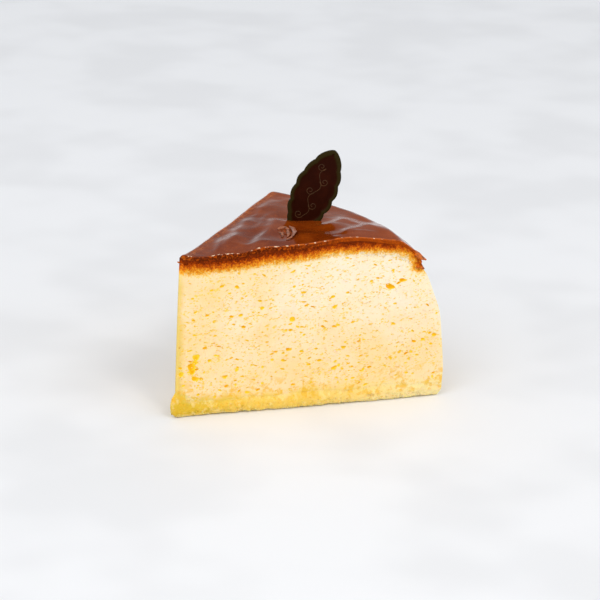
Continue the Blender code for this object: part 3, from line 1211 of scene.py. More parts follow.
    def chains(self) -> np.ndarray:
        """The fine cracks of the shown face, each a wavy row of small hollows.

        Returns:
            Distance from the point, height, width and size up the face, one row for each.
        """
        rows = []
        for along, height, length, rise in self.cracks:
            for k in range(round(length / self.crack_step)):
                share = k * self.crack_step / length
                wave = 0.45 * math.sin(2.4 * k) * 0.5 + 0.3 * math.sin(9 * share + along)
                rows.append((along + share * length, height + rise * share + wave, 1.0, 0.5))
        return np.array(rows) * MM

    def spots(self) -> Thing:
        """Draws the hollows of both cut faces.

        Returns:
            The spots, never shown.
        """
        spots = HoleSpots(self.seed)
        spots.add(Face.SHOWN, np.array(self.shown_holes) * MM, 0.25, (0.18, 0.28), True)
        spots.add(Face.SHOWN, self.chains(), 0.3, (0.2, 0.32), False)
        for face in Face:
            for kind in (self.fine, self.middle):
                self.scatter(spots, face, kind)
        self.scatter(spots, Face.OTHER, self.coarse)
        return spots.thing("hole_spots")

    def dress(self, mesh: bpy.types.Mesh) -> None:
        """Keeps how deep each vertex lies in a hollow and under the skin, for the material.

        Args:
            mesh: the cut crumb.
        """
        points = points_of(mesh)
        radius, _, rise = FORM.polar(points)
        faces = [FORM.face_distance(points, face) - FORM.knife(radius * face.value, points[:, 2], rise)
                 for face in Face]
        depth = np.clip(np.minimum(*faces) / MM - 0.08, 0, 4)
        cut = (rise > 0.015) & (rise < 0.985) & (radius > 1.9 * MM)
        cut &= radius < through(FORM.side, rise) - 1.0 * MM
        store(mesh, "pit", np.where(cut, depth, 0))
        store(mesh, "crust", CRUST.share(points))

    def build(self) -> Thing:
        """Makes the crumb.

        Returns:
            The crumb.
        """
        thing, spots = self.block.thing("crumb", self.points), self.spots()
        finish = CrumbFinish().material()
        HoleTree("hollows").apply(thing, Spots=spots, Finish=finish, Unevenness=self.unevenness,
                                  Seed=self.seed)
        self.dress(thing.data)
        bpy.data.objects.remove(spots)
        return settle(thing, 38, "crumb", "cake")


@dataclass(frozen=True)
class Fold:
    """One soft fold of the glaze between two places, in millimetres from the slice's point."""

    start: tuple[float, float]
    end: tuple[float, float]
    height: float
    width: float

    def rise(self, x: np.ndarray, y: np.ndarray) -> np.ndarray:
        """How far the fold lifts the glaze at places from the point, in metres.

        Args:
            x: distances ahead.
            y: distances aside.

        Returns:
            The rise at each place.
        """
        start, end = np.array(self.start) * MM, np.array(self.end) * MM
        length = np.linalg.norm(end - start)
        way = (end - start) / length
        along = (x - start[0]) * way[0] + (y - start[1]) * way[1]
        aside = (y - start[1]) * way[0] - (x - start[0]) * way[1]
        aside = aside + 1.3 * MM * waves(x, y, 9 * MM, 4.2)
        width = self.width * MM * np.where(aside > 0, 0.7, 1.4)
        fade = step(-3 * MM, 4 * MM, along) * step(length + 3 * MM, length - 4 * MM, along)
        return self.height * MM * np.exp(-((aside / width) ** 2)) * fade


@dataclass
class Glaze:
    """The glaze over the crown: a thin closed layer that rolls down over the cut edges."""

    steps_along: int = 150
    steps_across: int = 96
    inset: float = 1.2 * MM
    overhang: float = 0.16 * MM
    drop: float = 1.25 * MM
    depth: float = 0.75 * MM
    outer_end: float = 79.9 * MM
    fold_scale: float = 1.3
    edge_calm: float = 0.5
    worn_width: float = 3.2 * MM
    round_steps: int = 6
    fan_steps: int = 10
    outer_rim: float = 0.4
    closing: tuple[float, ...] = (0.75, 0.4)
    # Distance from the point, half width and height of each raised ring
    ridges: Rows = mm((75.5, 2.0, 0.28), (2.6, 1.6, 0.5))
    # Height and length in millimetres, and pattern, of the small waves
    ripples: Rows = ((0.2, 7.0, 1.9), (0.05, 2.6, 6.6))
    folds: tuple[Fold, ...] = (
        Fold((22.0, -12.5), (49.5, 7.0), 1.25, 4.5),
        Fold((18.0, -4.2), (43.0, 15.5), 0.95, 4.0),
        Fold((10.0, -5.5), (27.0, 6.5), 0.65, 3.5),
        Fold((33.5, -16.2), (47.0, -7.4), 0.7, 3.6),
        Fold((36.0, 3.6), (51.0, 14.6), 0.4, 2.6),
        Fold((44.0, 14.0), (62.0, 24.0), 0.45, 3.4),
        Fold((53.0, -20.6), (70.0, -18.8), 1.0, 4.0),
        Fold((74.0, -14.0), (67.0, -33.0), 0.6, 3.0),
        Fold((54.0, -9.8), (68.0, -7.0), 0.75, 4.6),
        Fold((48.0, -21.0), (64.0, -26.5), 0.45, 3.0),
        Fold((56.0, 4.5), (72.0, 13.0), 0.5, 3.8),
    )

    def relief(self, x: np.ndarray, y: np.ndarray) -> np.ndarray:
        """The folds, the raised outer ring and the small waves at places from the point.

        Args:
            x: distances ahead.
            y: distances aside.

        Returns:
            The rise at each place.
        """
        radius = np.hypot(x, y)
        inside = radius * (FORM.half - np.abs(np.arctan2(y, np.maximum(x, 1e-6))))
        calm = self.edge_calm + (1 - self.edge_calm) * step(self.inset, 6 * MM, inside)
        rise = self.fold_scale * calm * sum(fold.rise(x, y) for fold in self.folds)
        for at, width, height in self.ridges:
            rise = rise + height * np.exp(-(((radius - at) / width) ** 2))
        for height, length, offset in self.ripples:
            rise = rise + height * MM * waves(x, y, length * MM, offset)
        return rise * step(self.outer_end, self.outer_end - 3 * MM, radius)

    def top(self, x: np.ndarray, y: np.ndarray) -> np.ndarray:
        """The glaze's height at places from the slice's point."""
        across = np.clip(np.arctan2(y, np.maximum(x, 1e-6)) / FORM.half, -1, 1)
        return FORM.crown(np.hypot(x, y), across) + self.relief(x, y)

    def sheet(self, sunk: float) -> np.ndarray:
        """The top or the underside, its edge inset from the cut faces.

        Args:
            sunk: how far it lies below the glaze's top.

        Returns:
            Points by step along and step across.
        """
        t = np.linspace(0, 1, self.steps_along + 1)
        w = np.linspace(-1, 1, self.steps_across + 1)
        t, w = np.meshgrid(t, w, indexing="ij")
        apex = self.inset / math.sin(FORM.half)
        angle = w * FORM.half
        reach = np.sqrt(self.outer_end**2 - (apex * np.sin(angle)) ** 2) - apex * np.cos(angle)
        x, y = apex + t * reach * np.cos(angle), t * reach * np.sin(angle)
        radius = np.hypot(x, y)
        height = self.top(x, y) - sunk - (0.7 * self.relief(x, y) if sunk else 0)
        lean = FORM.lean(np.ones_like(x)) * (1 - radius / FORM.cake_radius)
        return np.stack([FORM.point_x + x + lean, y, height], 2)

    def loop(self) -> list[tuple[tuple[int, int], float, float]]:
        """The rim's corners in order, with the way out as an angle and the rim's size as a share.

        Returns:
            Step along and across, angle and share, one row for each corner.
        """
        n, m, half = self.steps_along, self.steps_across, FORM.half
        shown, other = -QUARTER - half, -3 * QUARTER + half
        row = [((i, 0), shown, 1.0) for i in range(n, 0, -1)]
        fan = np.linspace(shown, other, self.fan_steps + 1)
        row += [((0, 0), float(turn), 1.0) for turn in fan]
        row += [((i, m), other, 1.0) for i in range(1, n + 1)]
        less = 1 - self.outer_rim
        quarter = [(QUARTER * k / self.round_steps, less * k / self.round_steps)
                   for k in range(1, self.round_steps)]
        row += [((n, m), other - turn, 1 - change) for turn, change in quarter]
        row += [((n, k), half * (2 * k / m - 1) - 2 * math.pi, self.outer_rim) for k in range(m, -1, -1)]
        row += [((n, 0), -2 * math.pi - half - turn, self.outer_rim + change) for turn, change in quarter]
        return row

    def ring(self, base: np.ndarray, out: np.ndarray, size: np.ndarray, turn: float,
             shrink: float) -> np.ndarray:
        """One ring of the rolled rim.

        Args:
            base: the top's edge.
            out: the way out at each place.
            size: the rim's size at each place, as a share.
            turn: how far round the rim's section, 0 on top to a quarter turn at its outermost.
            shrink: less than 1 where the section closes again underneath.

        Returns:
            The ring's points.
        """
        lumps = np.array([[noise.noise(Vector(p) * (1 / size_mm / MM) + Vector((0, 0, shift)))
                           for size_mm, shift in ((1.9, 0.0), (5.0, 9.0))] for p in base.tolist()])
        reach = (self.inset + self.overhang * (1 + 1.1 * lumps[:, 0])) * size
        drop = self.drop * (1 + 0.3 * lumps[:, 1] + 0.22 * lumps[:, 0]) * (0.35 + 0.65 * size)
        ripple = 0.1 * MM * np.array([noise.noise(Vector(p) * (1 / 1.1 / MM) + Vector((turn * 2.2, 3, 1)))
                                      for p in base.tolist()]) * math.sin(turn)
        points = base + out * ((reach * math.sin(turn) * shrink + ripple)[:, None])
        points[:, 2] -= drop * (1 - math.cos(turn)) * (1.0 if shrink == 1 else 1.08)
        return points

    def build(self) -> Thing:
        """Makes the glaze.

        Returns:
            The glaze.
        """
        n, m = self.steps_along, self.steps_across
        top, under = self.sheet(0.0), self.sheet(self.depth)
        loop = self.loop()
        base = np.array([top[key] for key, _, _ in loop])
        out = np.array([(math.cos(angle), math.sin(angle), 0.0) for _, angle, _ in loop])
        size = np.array([share for _, _, share in loop])
        turns = [QUARTER * k / self.round_steps for k in range(1, self.round_steps + 1)]
        rings = [self.ring(base, out, size, turn, 1.0) for turn in turns]
        rings += [self.ring(base, out, size, turns[-1], shrink) for shrink in self.closing]
        body = bmesh.new()
        layers = body.verts.layers.float
        for name in ("far", "rim"):
            layers.new(name)
        far_layer, rim_layer = layers["far"], layers["rim"]
        grids = []
        for sheet in (top, under):
            grid = {(i, k): body.verts.new(sheet[i, k]) for i in range(1, n + 1) for k in range(m + 1)}
            point = body.verts.new(sheet[0, 0])
            grid.update({(0, k): point for k in range(m + 1)})
            for (i, k), corner in grid.items():
                wide = (i / n) * self.outer_end * FORM.slice_angle / self.worn_width
                corner[far_layer] = min(wide * (1 - k / m), 1.0)
            grids.append(grid)
        chains = [[grids[0][key] for key, _, _ in loop]]
        for number, ring in enumerate(rings):
            chain = [body.verts.new(point) for point in ring]
            for corner, (key, _, _) in zip(chain, loop):
                corner[rim_layer] = min((number + 1) / 4, 1.0)
                corner[far_layer] = grids[0][key][far_layer]
            chains.append(chain)
        chains.append([grids[1][key] for key, _, _ in loop])
        faces = [(grid[i, k], grid[i + 1, k], grid[i + 1, k + 1], grid[i, k + 1])
                 for grid in grids for i in range(n) for k in range(m)]
        for low, high in zip(chains, chains[1:]):
            faces += [(low[k], low[k - 1], high[k - 1], high[k]) for k in range(len(loop))]
        for corners in faces:
            distinct = list(dict.fromkeys(corners))
            if len(distinct) > 2:
                body.faces.new(distinct)
        bmesh.ops.recalc_face_normals(body, faces=body.faces)
        thing = finished("glaze", body)
        thing.data.materials.append(GlazeFinish().material())
        return settle(thing, 70, "glaze")


@dataclass
class Sponge:
    """The thin moist sponge layer, swollen at the cut faces, its soft upper edge lapping the crumb."""

    block: WedgeMesh
    inner_top: float = 4.4 * MM
    outer_top: float = 5.0 * MM
    lap: float = 2.2 * MM
    lip: float = 3.6 * MM
    lip_length: float = 7.5 * MM
    forward: float = 3.35 * MM
    forward_length: float = 7.0 * MM
    rounding: float = 1.4 * MM
    raggedness: float = 0.8 * MM
    swell: Rows = mm((0.0, 0.2), (12.0, 1.5), (40.0, 2.1), (62.0, 1.5), (78.0, 0.7), (91.5, 0.05))
    lip_section: Rows = ((0.0, 0.42), (0.12, 0.8), (0.4, 1.0), (0.68, 0.88), (0.88, 0.5), (1.0, 0.25))
    section: Rows = ((0.0, 0.66), (0.12, 0.88), (0.35, 1.0), (0.6, 0.86), (0.85, 0.36), (1.0, 0.0))
    side: Rows = ((0.0, 90.0 * MM), (0.3, 91.3 * MM), (0.65, 91.5 * MM), (1.0, 91.36 * MM))

    def top(self, along: np.ndarray) -> np.ndarray:
        """The height of the soft upper edge on the cut faces, signed along telling them apart."""
        ragged = 0.5 + 0.5 * waves(along, 0, 10 * MM, 5.5) + 0.3 * waves(along, 0, 3 * MM, 1.5)
        return 5.0 * MM + self.lip * np.exp(-((along / self.lip_length) ** 2)) + self.lap * ragged

    def points(self, u: np.ndarray, v: np.ndarray, w: np.ndarray) -> np.ndarray:
        """The sponge's surface at shares along, up and across.

        Args:
            u: shares along.
            v: shares up.
            w: shares across, -1 to 1.

        Returns:
            One row for each place.
        """
        radius = u * through(self.side, v)
        along = radius * w
        cut = (np.abs(w) == 1) | (u == 0)
        rim = cut | (u == 1)
        top = np.where(cut, self.top(along), np.where(rim, self.outer_top, self.inner_top))
        beside = radius * np.sqrt(1.001 - w * w)
        ragged = 0.5 + 0.5 * waves(along, beside, 3.6 * MM, 8.8) + 0.25 * waves(along, beside, 1.3 * MM, 2.9)
        hem = self.raggedness * np.maximum(ragged, 0) ** 1.3 * step(-2 * MM, 12 * MM, radius)
        low = np.where(rim, hem, 0)
        height = low + v * (top - low)
        x, y = FORM.plan(radius, w, self.rounding)
        forward = np.where(rim, through(self.lip_section, v), 0.5)
        x = FORM.point_x + x - self.forward * np.exp(-radius / self.forward_length) * forward
        swell = through(self.swell, np.abs(along)) * through(self.section, v)
        rough = 0.3 * (0.5 + 0.5 * waves(along, height, 7 * MM, 2.1))
        rough = rough + 0.3 * (1 + waves(along, height, 2.1 * MM, 4.4))
        rough = rough + 0.2 * (1 + waves(along, height, 1.0 * MM, 6.4))
        share = np.abs(along) / FORM.cake_radius
        fade = np.minimum(share * 12, 1) * (1 - 0.8 * step(0.5, 0.85, share))
        tuck = 0.4 * MM * v**4 * (1 - 0.7 * step(0.6, 0.9, share))
        outward = np.where(cut & (u > 0), swell - tuck - fade * rough * MM, 0)
        x = x - outward * math.sin(FORM.half)
        y = y + outward * w * math.cos(FORM.half)
        return np.stack([x, y, height], 1)

    def build(self) -> Thing:
        """Makes the sponge layer.

        Returns:
            The sponge layer.
        """
        thing = self.block.thing("sponge", self.points)
        thing.data.materials.append(SpongeFinish().material())
        return settle(thing, 85, "sponge", "sponge_base")


@dataclass
class Leaf:
    """The moulded leaf: a scalloped outline, a rounded raised rim and a shallow panel on each side."""

    length: float = 31.77 * MM
    width: float = 14.0 * MM
    in_crown: float = 5.0 * MM
    thickness: float = 1.3 * MM
    rim: float = 1.1 * MM
    recess: float = 0.3 * MM
    edge_round: float = 0.25 * MM
    fullness: float = 0.55
    scallops: int = 6
    scallop_depth: float = 0.095
    steps: int = 110
    scroll_width: float = 0.2 * MM
    scroll_finish: PlainFinish = PlainFinish("dull_gold", (84, 56, 30), 0.5, 0.8, 2.0)
    foot: Vector = Vector((54.6 * MM - 44.85 * MM, 1.9 * MM, 56.0 * MM))
    turn: float = math.radians(-42.0)
    lean: float = math.radians(24.5)

    def outline(self, inset: float) -> list[tuple[float, float]]:
        """The outline from foot to tip and back, moved in by inset.

        Args:
            inset: how far it is moved in.

        Returns:
            Places across and up the leaf.
        """
        sides = []
        for side in (1, -1):
            edge = []
            for k in range(1, self.steps):
                t = 0.5 - 0.5 * math.cos(math.pi * k / self.steps)
                swell = math.sin(math.pi * t) ** self.fullness
                wander = 0.22 * noise.noise(Vector((3.0 * t, side, 2.0)))
                scallop = abs(math.sin(math.pi * (self.scallops * t + wander))) ** 0.8 - 0.5
                uneven = 1 + 0.7 * noise.noise(Vector((5.0 * t, side, 7.0)))
                half = self.width / 2 * swell * (1 + self.scallop_depth * scallop * uneven)
                edge.append((side * max(half - inset, 0.35 * MM), inset + t * (self.length - 2 * inset)))
            sides.append(edge)
        return [(0, inset), *sides[0], (0, self.length - inset), *reversed(sides[1])]

    def rings(self) -> list[tuple[float, float, float]]:
        """Inset, depth and share of rim colour, from one face's panel round the edge to the other's.

        Returns:
            One row for each ring.
        """
        half, curve = self.thickness / 2, self.edge_round
        side = [(self.rim + 2.4 * self.recess, half - self.recess, 0.0),
                (self.rim + 0.9 * self.recess, half - 0.85 * self.recess, 0.1),
                (self.rim, half - 0.3 * self.recess, 0.7), (self.rim * 0.8, half, 1.0)]
        for k in range(5):
            angle = QUARTER * k / 4
            side.append((curve * (1 - math.sin(angle)), half - curve * (1 - math.cos(angle)), 1.0))
        return side + [(inset, -depth, rim) for inset, depth, rim in reversed(side)]

    def place(self) -> Matrix:
        """Where the leaf stands in the crown."""
        lean = Matrix.Rotation(self.turn, 4, "Z") @ Matrix.Rotation(self.lean, 4, "Y")
        return Matrix.Translation(self.foot) @ lean

    def build(self) -> Thing:
        """Makes the leaf.

        Returns:
            The leaf.
        """
        body = bmesh.new()
        rim_layer = body.verts.layers.float.new("rim")
        loops = []
        for inset, depth, rim in self.rings():
            loop = []
            for x, z in self.outline(inset):
                corner = body.verts.new((x, depth, z - self.in_crown))
                corner[rim_layer] = rim
                loop.append(corner)
            loops.append(loop)
        loft(body, loops)
        bmesh.ops.triangulate(body, faces=[f for f in body.faces if len(f.verts) > 4])
        bmesh.ops.recalc_face_normals(body, faces=body.faces)
        body.transform(self.place())
        thing = finished("leaf", body)
        thing.data.materials.append(LeafFinish().material())
        return settle(thing, 40, "dark_leaf", "leaf_plaque")

    def scroll(self) -> Thing:
        """Makes the faint scrollwork on both panels: a waving stem with a curl at each bend.

        Returns:
            The scrollwork.
        """
        body = bmesh.new()
        depth = self.thickness / 2 - self.recess
        foot, length, swing, curl_size, bends = 7.0, 18.0, 1.1 * MM, 1.5 * MM, 4
        strands = [[(swing * math.sin(bends * math.pi * t), (foot + length * t) * MM)
                    for t in np.linspace(0, 1, 70)]]
        for k in range(bends + 1):
            bend, middle = (1 if k % 2 else -1), (foot + length / bends * k) * MM
            curl = []
            for t in np.linspace(0, 1, 30):
                size, angle = curl_size * (1 - 0.8 * t), math.pi + 8.2 * t
                curl.append((bend * (curl_size + size * math.cos(angle)), middle + size * math.sin(angle)))
            strands.append(curl)
        for side, strand in product((-1, 1), strands):
            path = [Vector((across, side * depth, up - self.in_crown)) for across, up in strand]
            tube(body, path, self.scroll_width / 2, 5)
        body.transform(self.place())
        thing = finished("leaf_scroll", body)
        thing.data.materials.append(self.scroll_finish.material())
        return settle(thing, 60, "dark_leaf")


def tube(body: bmesh.types.BMesh, path: list[Vector], radius: float, sides: int) -> None:
    """Adds a closed round tube along a path.

    Args:
        body: where to add it.
        path: its middle line.
        radius: its radius.
        sides: corners round it.
    """
    rings = []
    across = Vector((0, 0, 1))
    for k, middle in enumerate(path):
        way = (path[min(k + 1, len(path) - 1)] - path[max(k - 1, 0)]).normalized()
        across = (across - way * across.dot(way)).normalized()
        other = way.cross(across)
        rings.append([body.verts.new(middle + radius * (across * math.cos(a) + other * math.sin(a)))
                      for a in (2 * math.pi * j / sides for j in range(sides))])
    loft(body, rings)


@dataclass(frozen=True)
class Flake:
    """A torn strip of skin: places from the slice's point and half widths, in millimetres.

    A place's last number is its height above the plate, or above the glaze that the strip lies on.
    """

    line: tuple[tuple[float, float, float], ...]
    aside: tuple[tuple[float, float, float], ...]
    thickness: float = 0.28
    cup: Rows = ((-1, 0.5), (-0.5, 0.15), (0, 0), (0.5, 0.15), (1, 0.5))

    def add(self, body: bmesh.types.BMesh, glaze: Glaze | None) -> None:
        """Adds the strip as a closed, slightly cupped body.

        Args:
            body: where to add it.
            glaze: the glaze that the strip lies on, if any.
        """
        base = Vector((FORM.point_x, 0, 0))
        steps = 4 * (len(self.line) - 1)
        rings = []
        for k in range(steps + 1):
            t = k / steps * (len(self.line) - 1)
            i = min(int(t), len(self.line) - 2)
            middle = Vector(self.line[i]).lerp(Vector(self.line[i + 1]), t - i)
            half = Vector(self.aside[i]).lerp(Vector(self.aside[i + 1]), t - i)
            ahead = Vector(self.line[i + 1]) - Vector(self.line[i])
            up = half.cross(ahead).normalized() if half.length > 1e-6 else Vector((0, 0, 1))
            half = half * (1 + 0.35 * noise.noise(middle * 1.7))
            ring = [middle + half * side + up * lift * 0.35 for side, lift in self.cup]
            under = [place - up * self.thickness for place in reversed(ring)]
            corners = [place * MM for place in ring + under]
            if glaze:
                ground = glaze.top(*np.array([corner[:2] for corner in corners]).T)
                corners = [corner + Vector((0, 0, rise)) for corner, rise in zip(corners, ground)]
            rings.append([body.verts.new(base + corner) for corner in corners])
        loft(body, rings)


def ribbon(*places: tuple[float, float, float, float]) -> Flake:
    """A narrow torn strip that leans over a little as it goes.

    Args:
        places: from the slice's point, each with its height and half width, in millimetres.

    Returns:
        The strip.
    """
    asides = []
    for k, place in enumerate(places):
        before, after = places[max(k - 1, 0)], places[min(k + 1, len(places) - 1)]
        way = Vector((after[0] - before[0], after[1] - before[1], 0)).normalized()
        lean = 0.5 + 0.4 * math.sin(2.1 * k)
        asides.append(tuple(place[3] * Vector((-way.y, way.x, lean))))
    return Flake(tuple(place[:3] for place in places), tuple(asides), 0.22)


@dataclass
class SkinBits:
    """The torn bits of browned skin: a peeled end at the shoulder, a spur at the point, a tear on top."""

    flakes: tuple[tuple[str, Flake], ...] = (
        ("skin", Flake(((72.6, -34.4, 50.6), (74.1, -36.0, 49.6), (75.7, -37.0, 48.2)),
                       ((1.0, 1.9, 0.7), (0.9, 1.5, 0.5), (0.1, 0.2, 0.0)))),
        ("skin", Flake(((73.0, -35.2, 46.2), (74.0, -36.6, 46.4), (75.0, -36.9, 45.2)),
                       ((0.5, 0.6, 0.4), (0.6, 0.7, 0.5), (0.1, 0.1, 0.1)))),
        ("skin", Flake(((3.0, -0.3, 52.2), (1.9, -0.3, 52.8), (1.0, -0.2, 53.3)),
                       ((0.1, 0.5, 0.1), (0.1, 0.4, 0.1), (0.0, 0.1, 0.0)))),
        ("tear", ribbon((47.0, -1.5, 0.2, 0.2), (46.2, -4.0, 0.6, 0.5), (44.7, -6.4, 0.9, 0.6),
                        (42.9, -8.6, 0.6, 0.7), (40.6, -10.6, 0.5, 0.45), (38.5, -11.9, 0.5, 0.5),
                        (36.9, -11.6, 0.2, 0.2))),
        ("tear", ribbon((41.0, -2.6, 0.2, 0.2), (42.8, -2.2, 0.5, 0.4), (44.2, -2.6, 0.7, 0.5),
                        (43.9, -4.3, 0.8, 0.4), (42.5, -5.6, 0.4, 0.5), (41.6, -7.3, 0.6, 0.6),
                        (40.2, -8.8, 0.5, 0.4), (39.2, -9.4, 0.2, 0.2))),
        ("tear", ribbon((39.8, -4.6, 0.1, 0.2), (39.9, -6.0, 0.4, 0.4), (38.9, -7.4, 0.4, 0.3),
                        (37.9, -8.2, 0.1, 0.2))),
        ("bare", Flake(((44.4, -1.0, 0.03), (42.8, -5.0, 0.06), (41.6, -9.4, 0.03)),
                       ((0.8, 0.2, 0.0), (2.0, 0.5, 0.0), (0.5, 0.1, 0.0)), 0.3)),
    )

    def build(self, glaze: Glaze) -> None:
        """Makes the peeled bits and the tear, one piece for each kind.

        Args:
            glaze: the glaze that the tear lies on.
        """
        for kind, name, slot, finish in (
            ("skin", "skin_bits", "crumb", PlainFinish("browned_skin", (212, 106, 16), 0.4, 0.6, 1.2)),
            ("tear", "glaze_tear", "glaze", PlainFinish("torn_glaze", (172, 106, 76), 0.3, 0.55, 0.9)),
            ("bare", "bare_spot", "glaze", PlainFinish("bare_spot", (150, 64, 8), 0.35, 0.7, 0.8)),
        ):
            body = bmesh.new()
            for label, flake in self.flakes:
                if label == kind:
                    flake.add(body, None if kind == "skin" else glaze)
            bmesh.ops.recalc_face_normals(body, faces=body.faces)
            thing = finished(name, body)
            thing.data.materials.append(finish.material())
            settle(thing, 50, slot)


@dataclass
class Grains:
    """Small grains that stand out of the browned crust and the cut faces, and out of the sponge's edge."""

    crust_count: int = 2600
    face_count: int = 700
    foot_count: int = 520
    crust_sizes: tuple[float, float] = (0.1, 0.26)
    face_sizes: tuple[float, float] = (0.1, 0.2)
    foot_sizes: tuple[float, float] = (0.12, 0.34)
    unevenness: float = 0.9
    seed: int = 11

    def crumb_rows(self) -> tuple[np.ndarray, np.ndarray]:
        """Draws places and sizes on both cut faces of the crumb.

        Returns:
            Places, and a size for each.
        """
        rng = np.random.default_rng(self.seed)
        places, sizes = [], []
        for face in Face:
            along = rng.uniform(1.8, 82.0, self.crust_count) * MM
            crown = FORM.crown(along, np.full_like(along, face.value))
            height = crown - (1.6 + 4.2 * rng.random(self.crust_count) ** 1.3) * MM
            places.append(FORM.on_face(face, along, height))
            sizes.append(rng.uniform(*self.crust_sizes, self.crust_count) * MM)
            along = rng.uniform(2.5, 88.0, self.face_count) * MM
            height = rng.uniform(6.0, 49.0, self.face_count) * MM
            rise = (height - FORM.crumb_foot) / (50 * MM)
            kept = along < through(FORM.side, rise) - 1.5 * MM
            places.append(FORM.on_face(face, along[kept], height[kept]))
            sizes.append(rng.uniform(*self.face_sizes, kept.sum()) * MM)
        return np.concatenate(places), np.concatenate(sizes)

    def foot_rows(self, sponge: Thing) -> tuple[np.ndarray, np.ndarray]:
        """Draws places and sizes on the sponge's outer surfaces.

        Args:
            sponge: the sponge layer.

        Returns:
            Places, and a size for each.
        """
        rng = np.random.default_rng(self.seed + 1)
        points = points_of(sponge.data)
        radius, _, _ = FORM.polar(points)
        outside = (FORM.face_distance(points, Face.SHOWN) < 0.2 * MM) | (radius > 90.5 * MM)
        outside |= FORM.face_distance(points, Face.OTHER) < 0.2 * MM
        outside &= (points[:, 2] < 2.6 * MM) & (points[:, 2] > 0.25 * MM) & (radius < 90.8 * MM)
        picked = rng.choice(np.flatnonzero(outside), self.foot_count)
        places = points[picked]
        places[:, 2] += rng.uniform(-0.15, 0.25, self.foot_count) * MM
        sizes = rng.uniform(*self.foot_sizes, self.foot_count) * MM
        places[:, 2] = np.maximum(places[:, 2], 1.2 * sizes + 0.06 * MM)
        return places, sizes

    def build(self, name: str, rows: tuple[np.ndarray, np.ndarray], like: Thing,
              slot: str) -> Thing:
        """Makes the grains of one piece.

        Args:
            name: the new piece's name.
            rows: the places and sizes.
            like: the piece that they sit on, which gives the finish.
            slot: the record's material slot.

        Returns:
            The grains.
        """
        mesh = bpy.data.meshes.new(name)
        mesh.from_pydata(rows[0].tolist(), [], [])
        store(mesh, "size", rows[1])
        thing = link(name, mesh)
        GrainTree(name).apply(thing, Finish=like.data.materials[0], Unevenness=self.unevenness,
                              Seed=self.seed)
        points = points_of(thing.data)
        if slot == "crumb":
            store(thing.data, "crust", CRUST.share(points))
        store(thing.data, "pit", np.zeros(len(points)))
        return settle(thing, 60, slot)


# The studio


@dataclass(frozen=True)
class Softbox:
    """A large soft light: where it hangs in degrees and metres, its size, its watts and its colour."""

    name: str
    azimuth: float
    elevation: float
    distance: float
    size: tuple[float, float]
    power: float
    colour: Colour = (255, 255, 255)


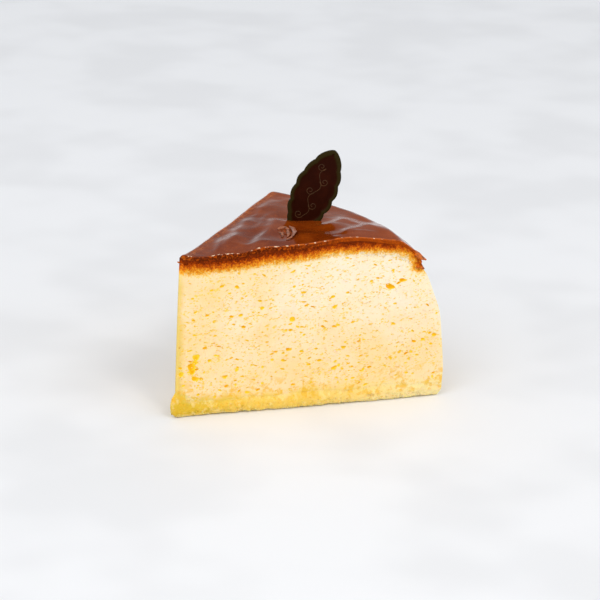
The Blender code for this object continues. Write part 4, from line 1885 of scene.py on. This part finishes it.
@dataclass
class Studio:
    """A pale floor, soft light and the camera at the photograph's angle."""

    target: Vector = Vector((8.79 * MM, -0.03 * MM, 28.59 * MM))
    azimuth: float = math.radians(-41.64)
    elevation: float = math.radians(19.875)
    roll: float = math.radians(1.2)
    distance: float = 805.8 * MM
    lens: float = 144.0
    sensor: float = 36.0
    strength: float = 0.9
    dimness: float = 0.38
    dim_elevation: float = math.radians(25.0)
    dim_cosines: tuple[float, float] = (0.87, 1.0)
    sky: Colour = (239, 241, 244)
    lights: tuple[Softbox, ...] = (
        Softbox("key", -75, 42, 1.5, (1.0, 1.0), 5.4),
        Softbox("fill", 5, 35, 1.6, (1.0, 1.0), 3.4),
        Softbox("spark", -12, 48, 1.5, (0.3, 0.25), 2.8, (255, 244, 228)),
    )
    floor_gap: float = 0.2 * MM
    floor_finish: PlainFinish = PlainFinish("floor", (239, 240, 242), 0.7)

    def aimed(self, name: str, data: bpy.types.ID, back: Vector, distance: float, roll: float) -> Thing:
        """Places a camera or a light so that it looks at the slice.

        Args:
            name: its name.
            data: the camera or the light.
            back: the way from the slice to it.
            distance: how far away it is.
            roll: its turn about its line of sight.

        Returns:
            The object.
        """
        thing = link(name, data)
        thing.location = self.target + back * distance
        thing.rotation_mode = "QUATERNION"
        thing.rotation_quaternion = (-back).to_track_quat("-Z", "Y") @ Quaternion((0, 0, 1), roll)
        return thing

    def camera(self) -> None:
        """Places the camera."""
        data = bpy.data.cameras.new("camera")
        data.lens, data.sensor_width = self.lens, self.sensor
        data.clip_start, data.clip_end = 0.01, 20.0
        back = toward(self.azimuth, self.elevation)
        bpy.context.scene.camera = self.aimed("camera", data, back, self.distance, self.roll)

    def hang(self, box: Softbox) -> None:
        """Hangs a soft light that looks at the slice.

        Args:
            box: the light.
        """
        data = bpy.data.lights.new(box.name, "AREA")
        data.shape = "RECTANGLE"
        data.size, data.size_y = box.size
        data.energy, data.color = box.power, linear(box.colour)[:3]
        back = toward(math.radians(box.azimuth), math.radians(box.elevation))
        self.aimed(box.name, data, back, box.distance, 0.0)

    def build(self) -> None:
        """Makes the floor, the lights, the surrounding light and the camera."""
        self.camera()
        body = bmesh.new()
        bmesh.ops.create_grid(body, x_segments=1, y_segments=1, size=6.0)
        floor = finished("floor", body)
        floor.data.materials.append(self.floor_finish.material())
        floor.location.z = -self.floor_gap
        self.surround()
        bpy.context.scene.view_settings.view_transform = "Standard"
        for box in self.lights:
            self.hang(box)

    def surround(self) -> None:
        """Surrounds the slice with pale light, dimmer low behind it, where its top mirrors it."""
        world = bpy.data.worlds.new("studio")
        world.use_nodes = True
        nodes = Nodes(world.node_tree)
        place = nodes.add("Generated", "ShaderNodeTexCoord", {})
        dim = toward(self.azimuth + math.pi, self.dim_elevation)
        near = nodes.add("Value", "ShaderNodeVectorMath", {0: place, 1: dim}, operation="DOT_PRODUCT")
        level = nodes.add("Result", "ShaderNodeMapRange", {
            "Value": near, "From Min": self.dim_cosines[0], "From Max": self.dim_cosines[1],
            "To Min": self.strength, "To Max": self.strength * self.dimness}, interpolation_type="SMOOTHSTEP")
        shader = nodes.tree.nodes["Background"]
        nodes.put(shader.inputs["Color"], linear(self.sky))
        nodes.put(shader.inputs["Strength"], level)
        bpy.context.scene.world = world


def main() -> None:
    """Builds the slice and its studio."""
    logging.basicConfig(level=logging.INFO, format="%(message)s")
    Studio().build()
    crumb = Crumb(WedgeMesh(columns=72, rows=44, slices=32)).build()
    sponge = Sponge(WedgeMesh(columns=230, rows=14, slices=36)).build()
    grains = Grains()
    grains.build("crumb_grains", grains.crumb_rows(), crumb, "crumb")
    grains.build("sponge_grains", grains.foot_rows(sponge), sponge, "sponge")
    glaze = Glaze()
    glaze.build()
    SkinBits().build(glaze)
    leaf = Leaf()
    leaf.build()
    leaf.scroll()


if __name__ == "__main__":
    main()
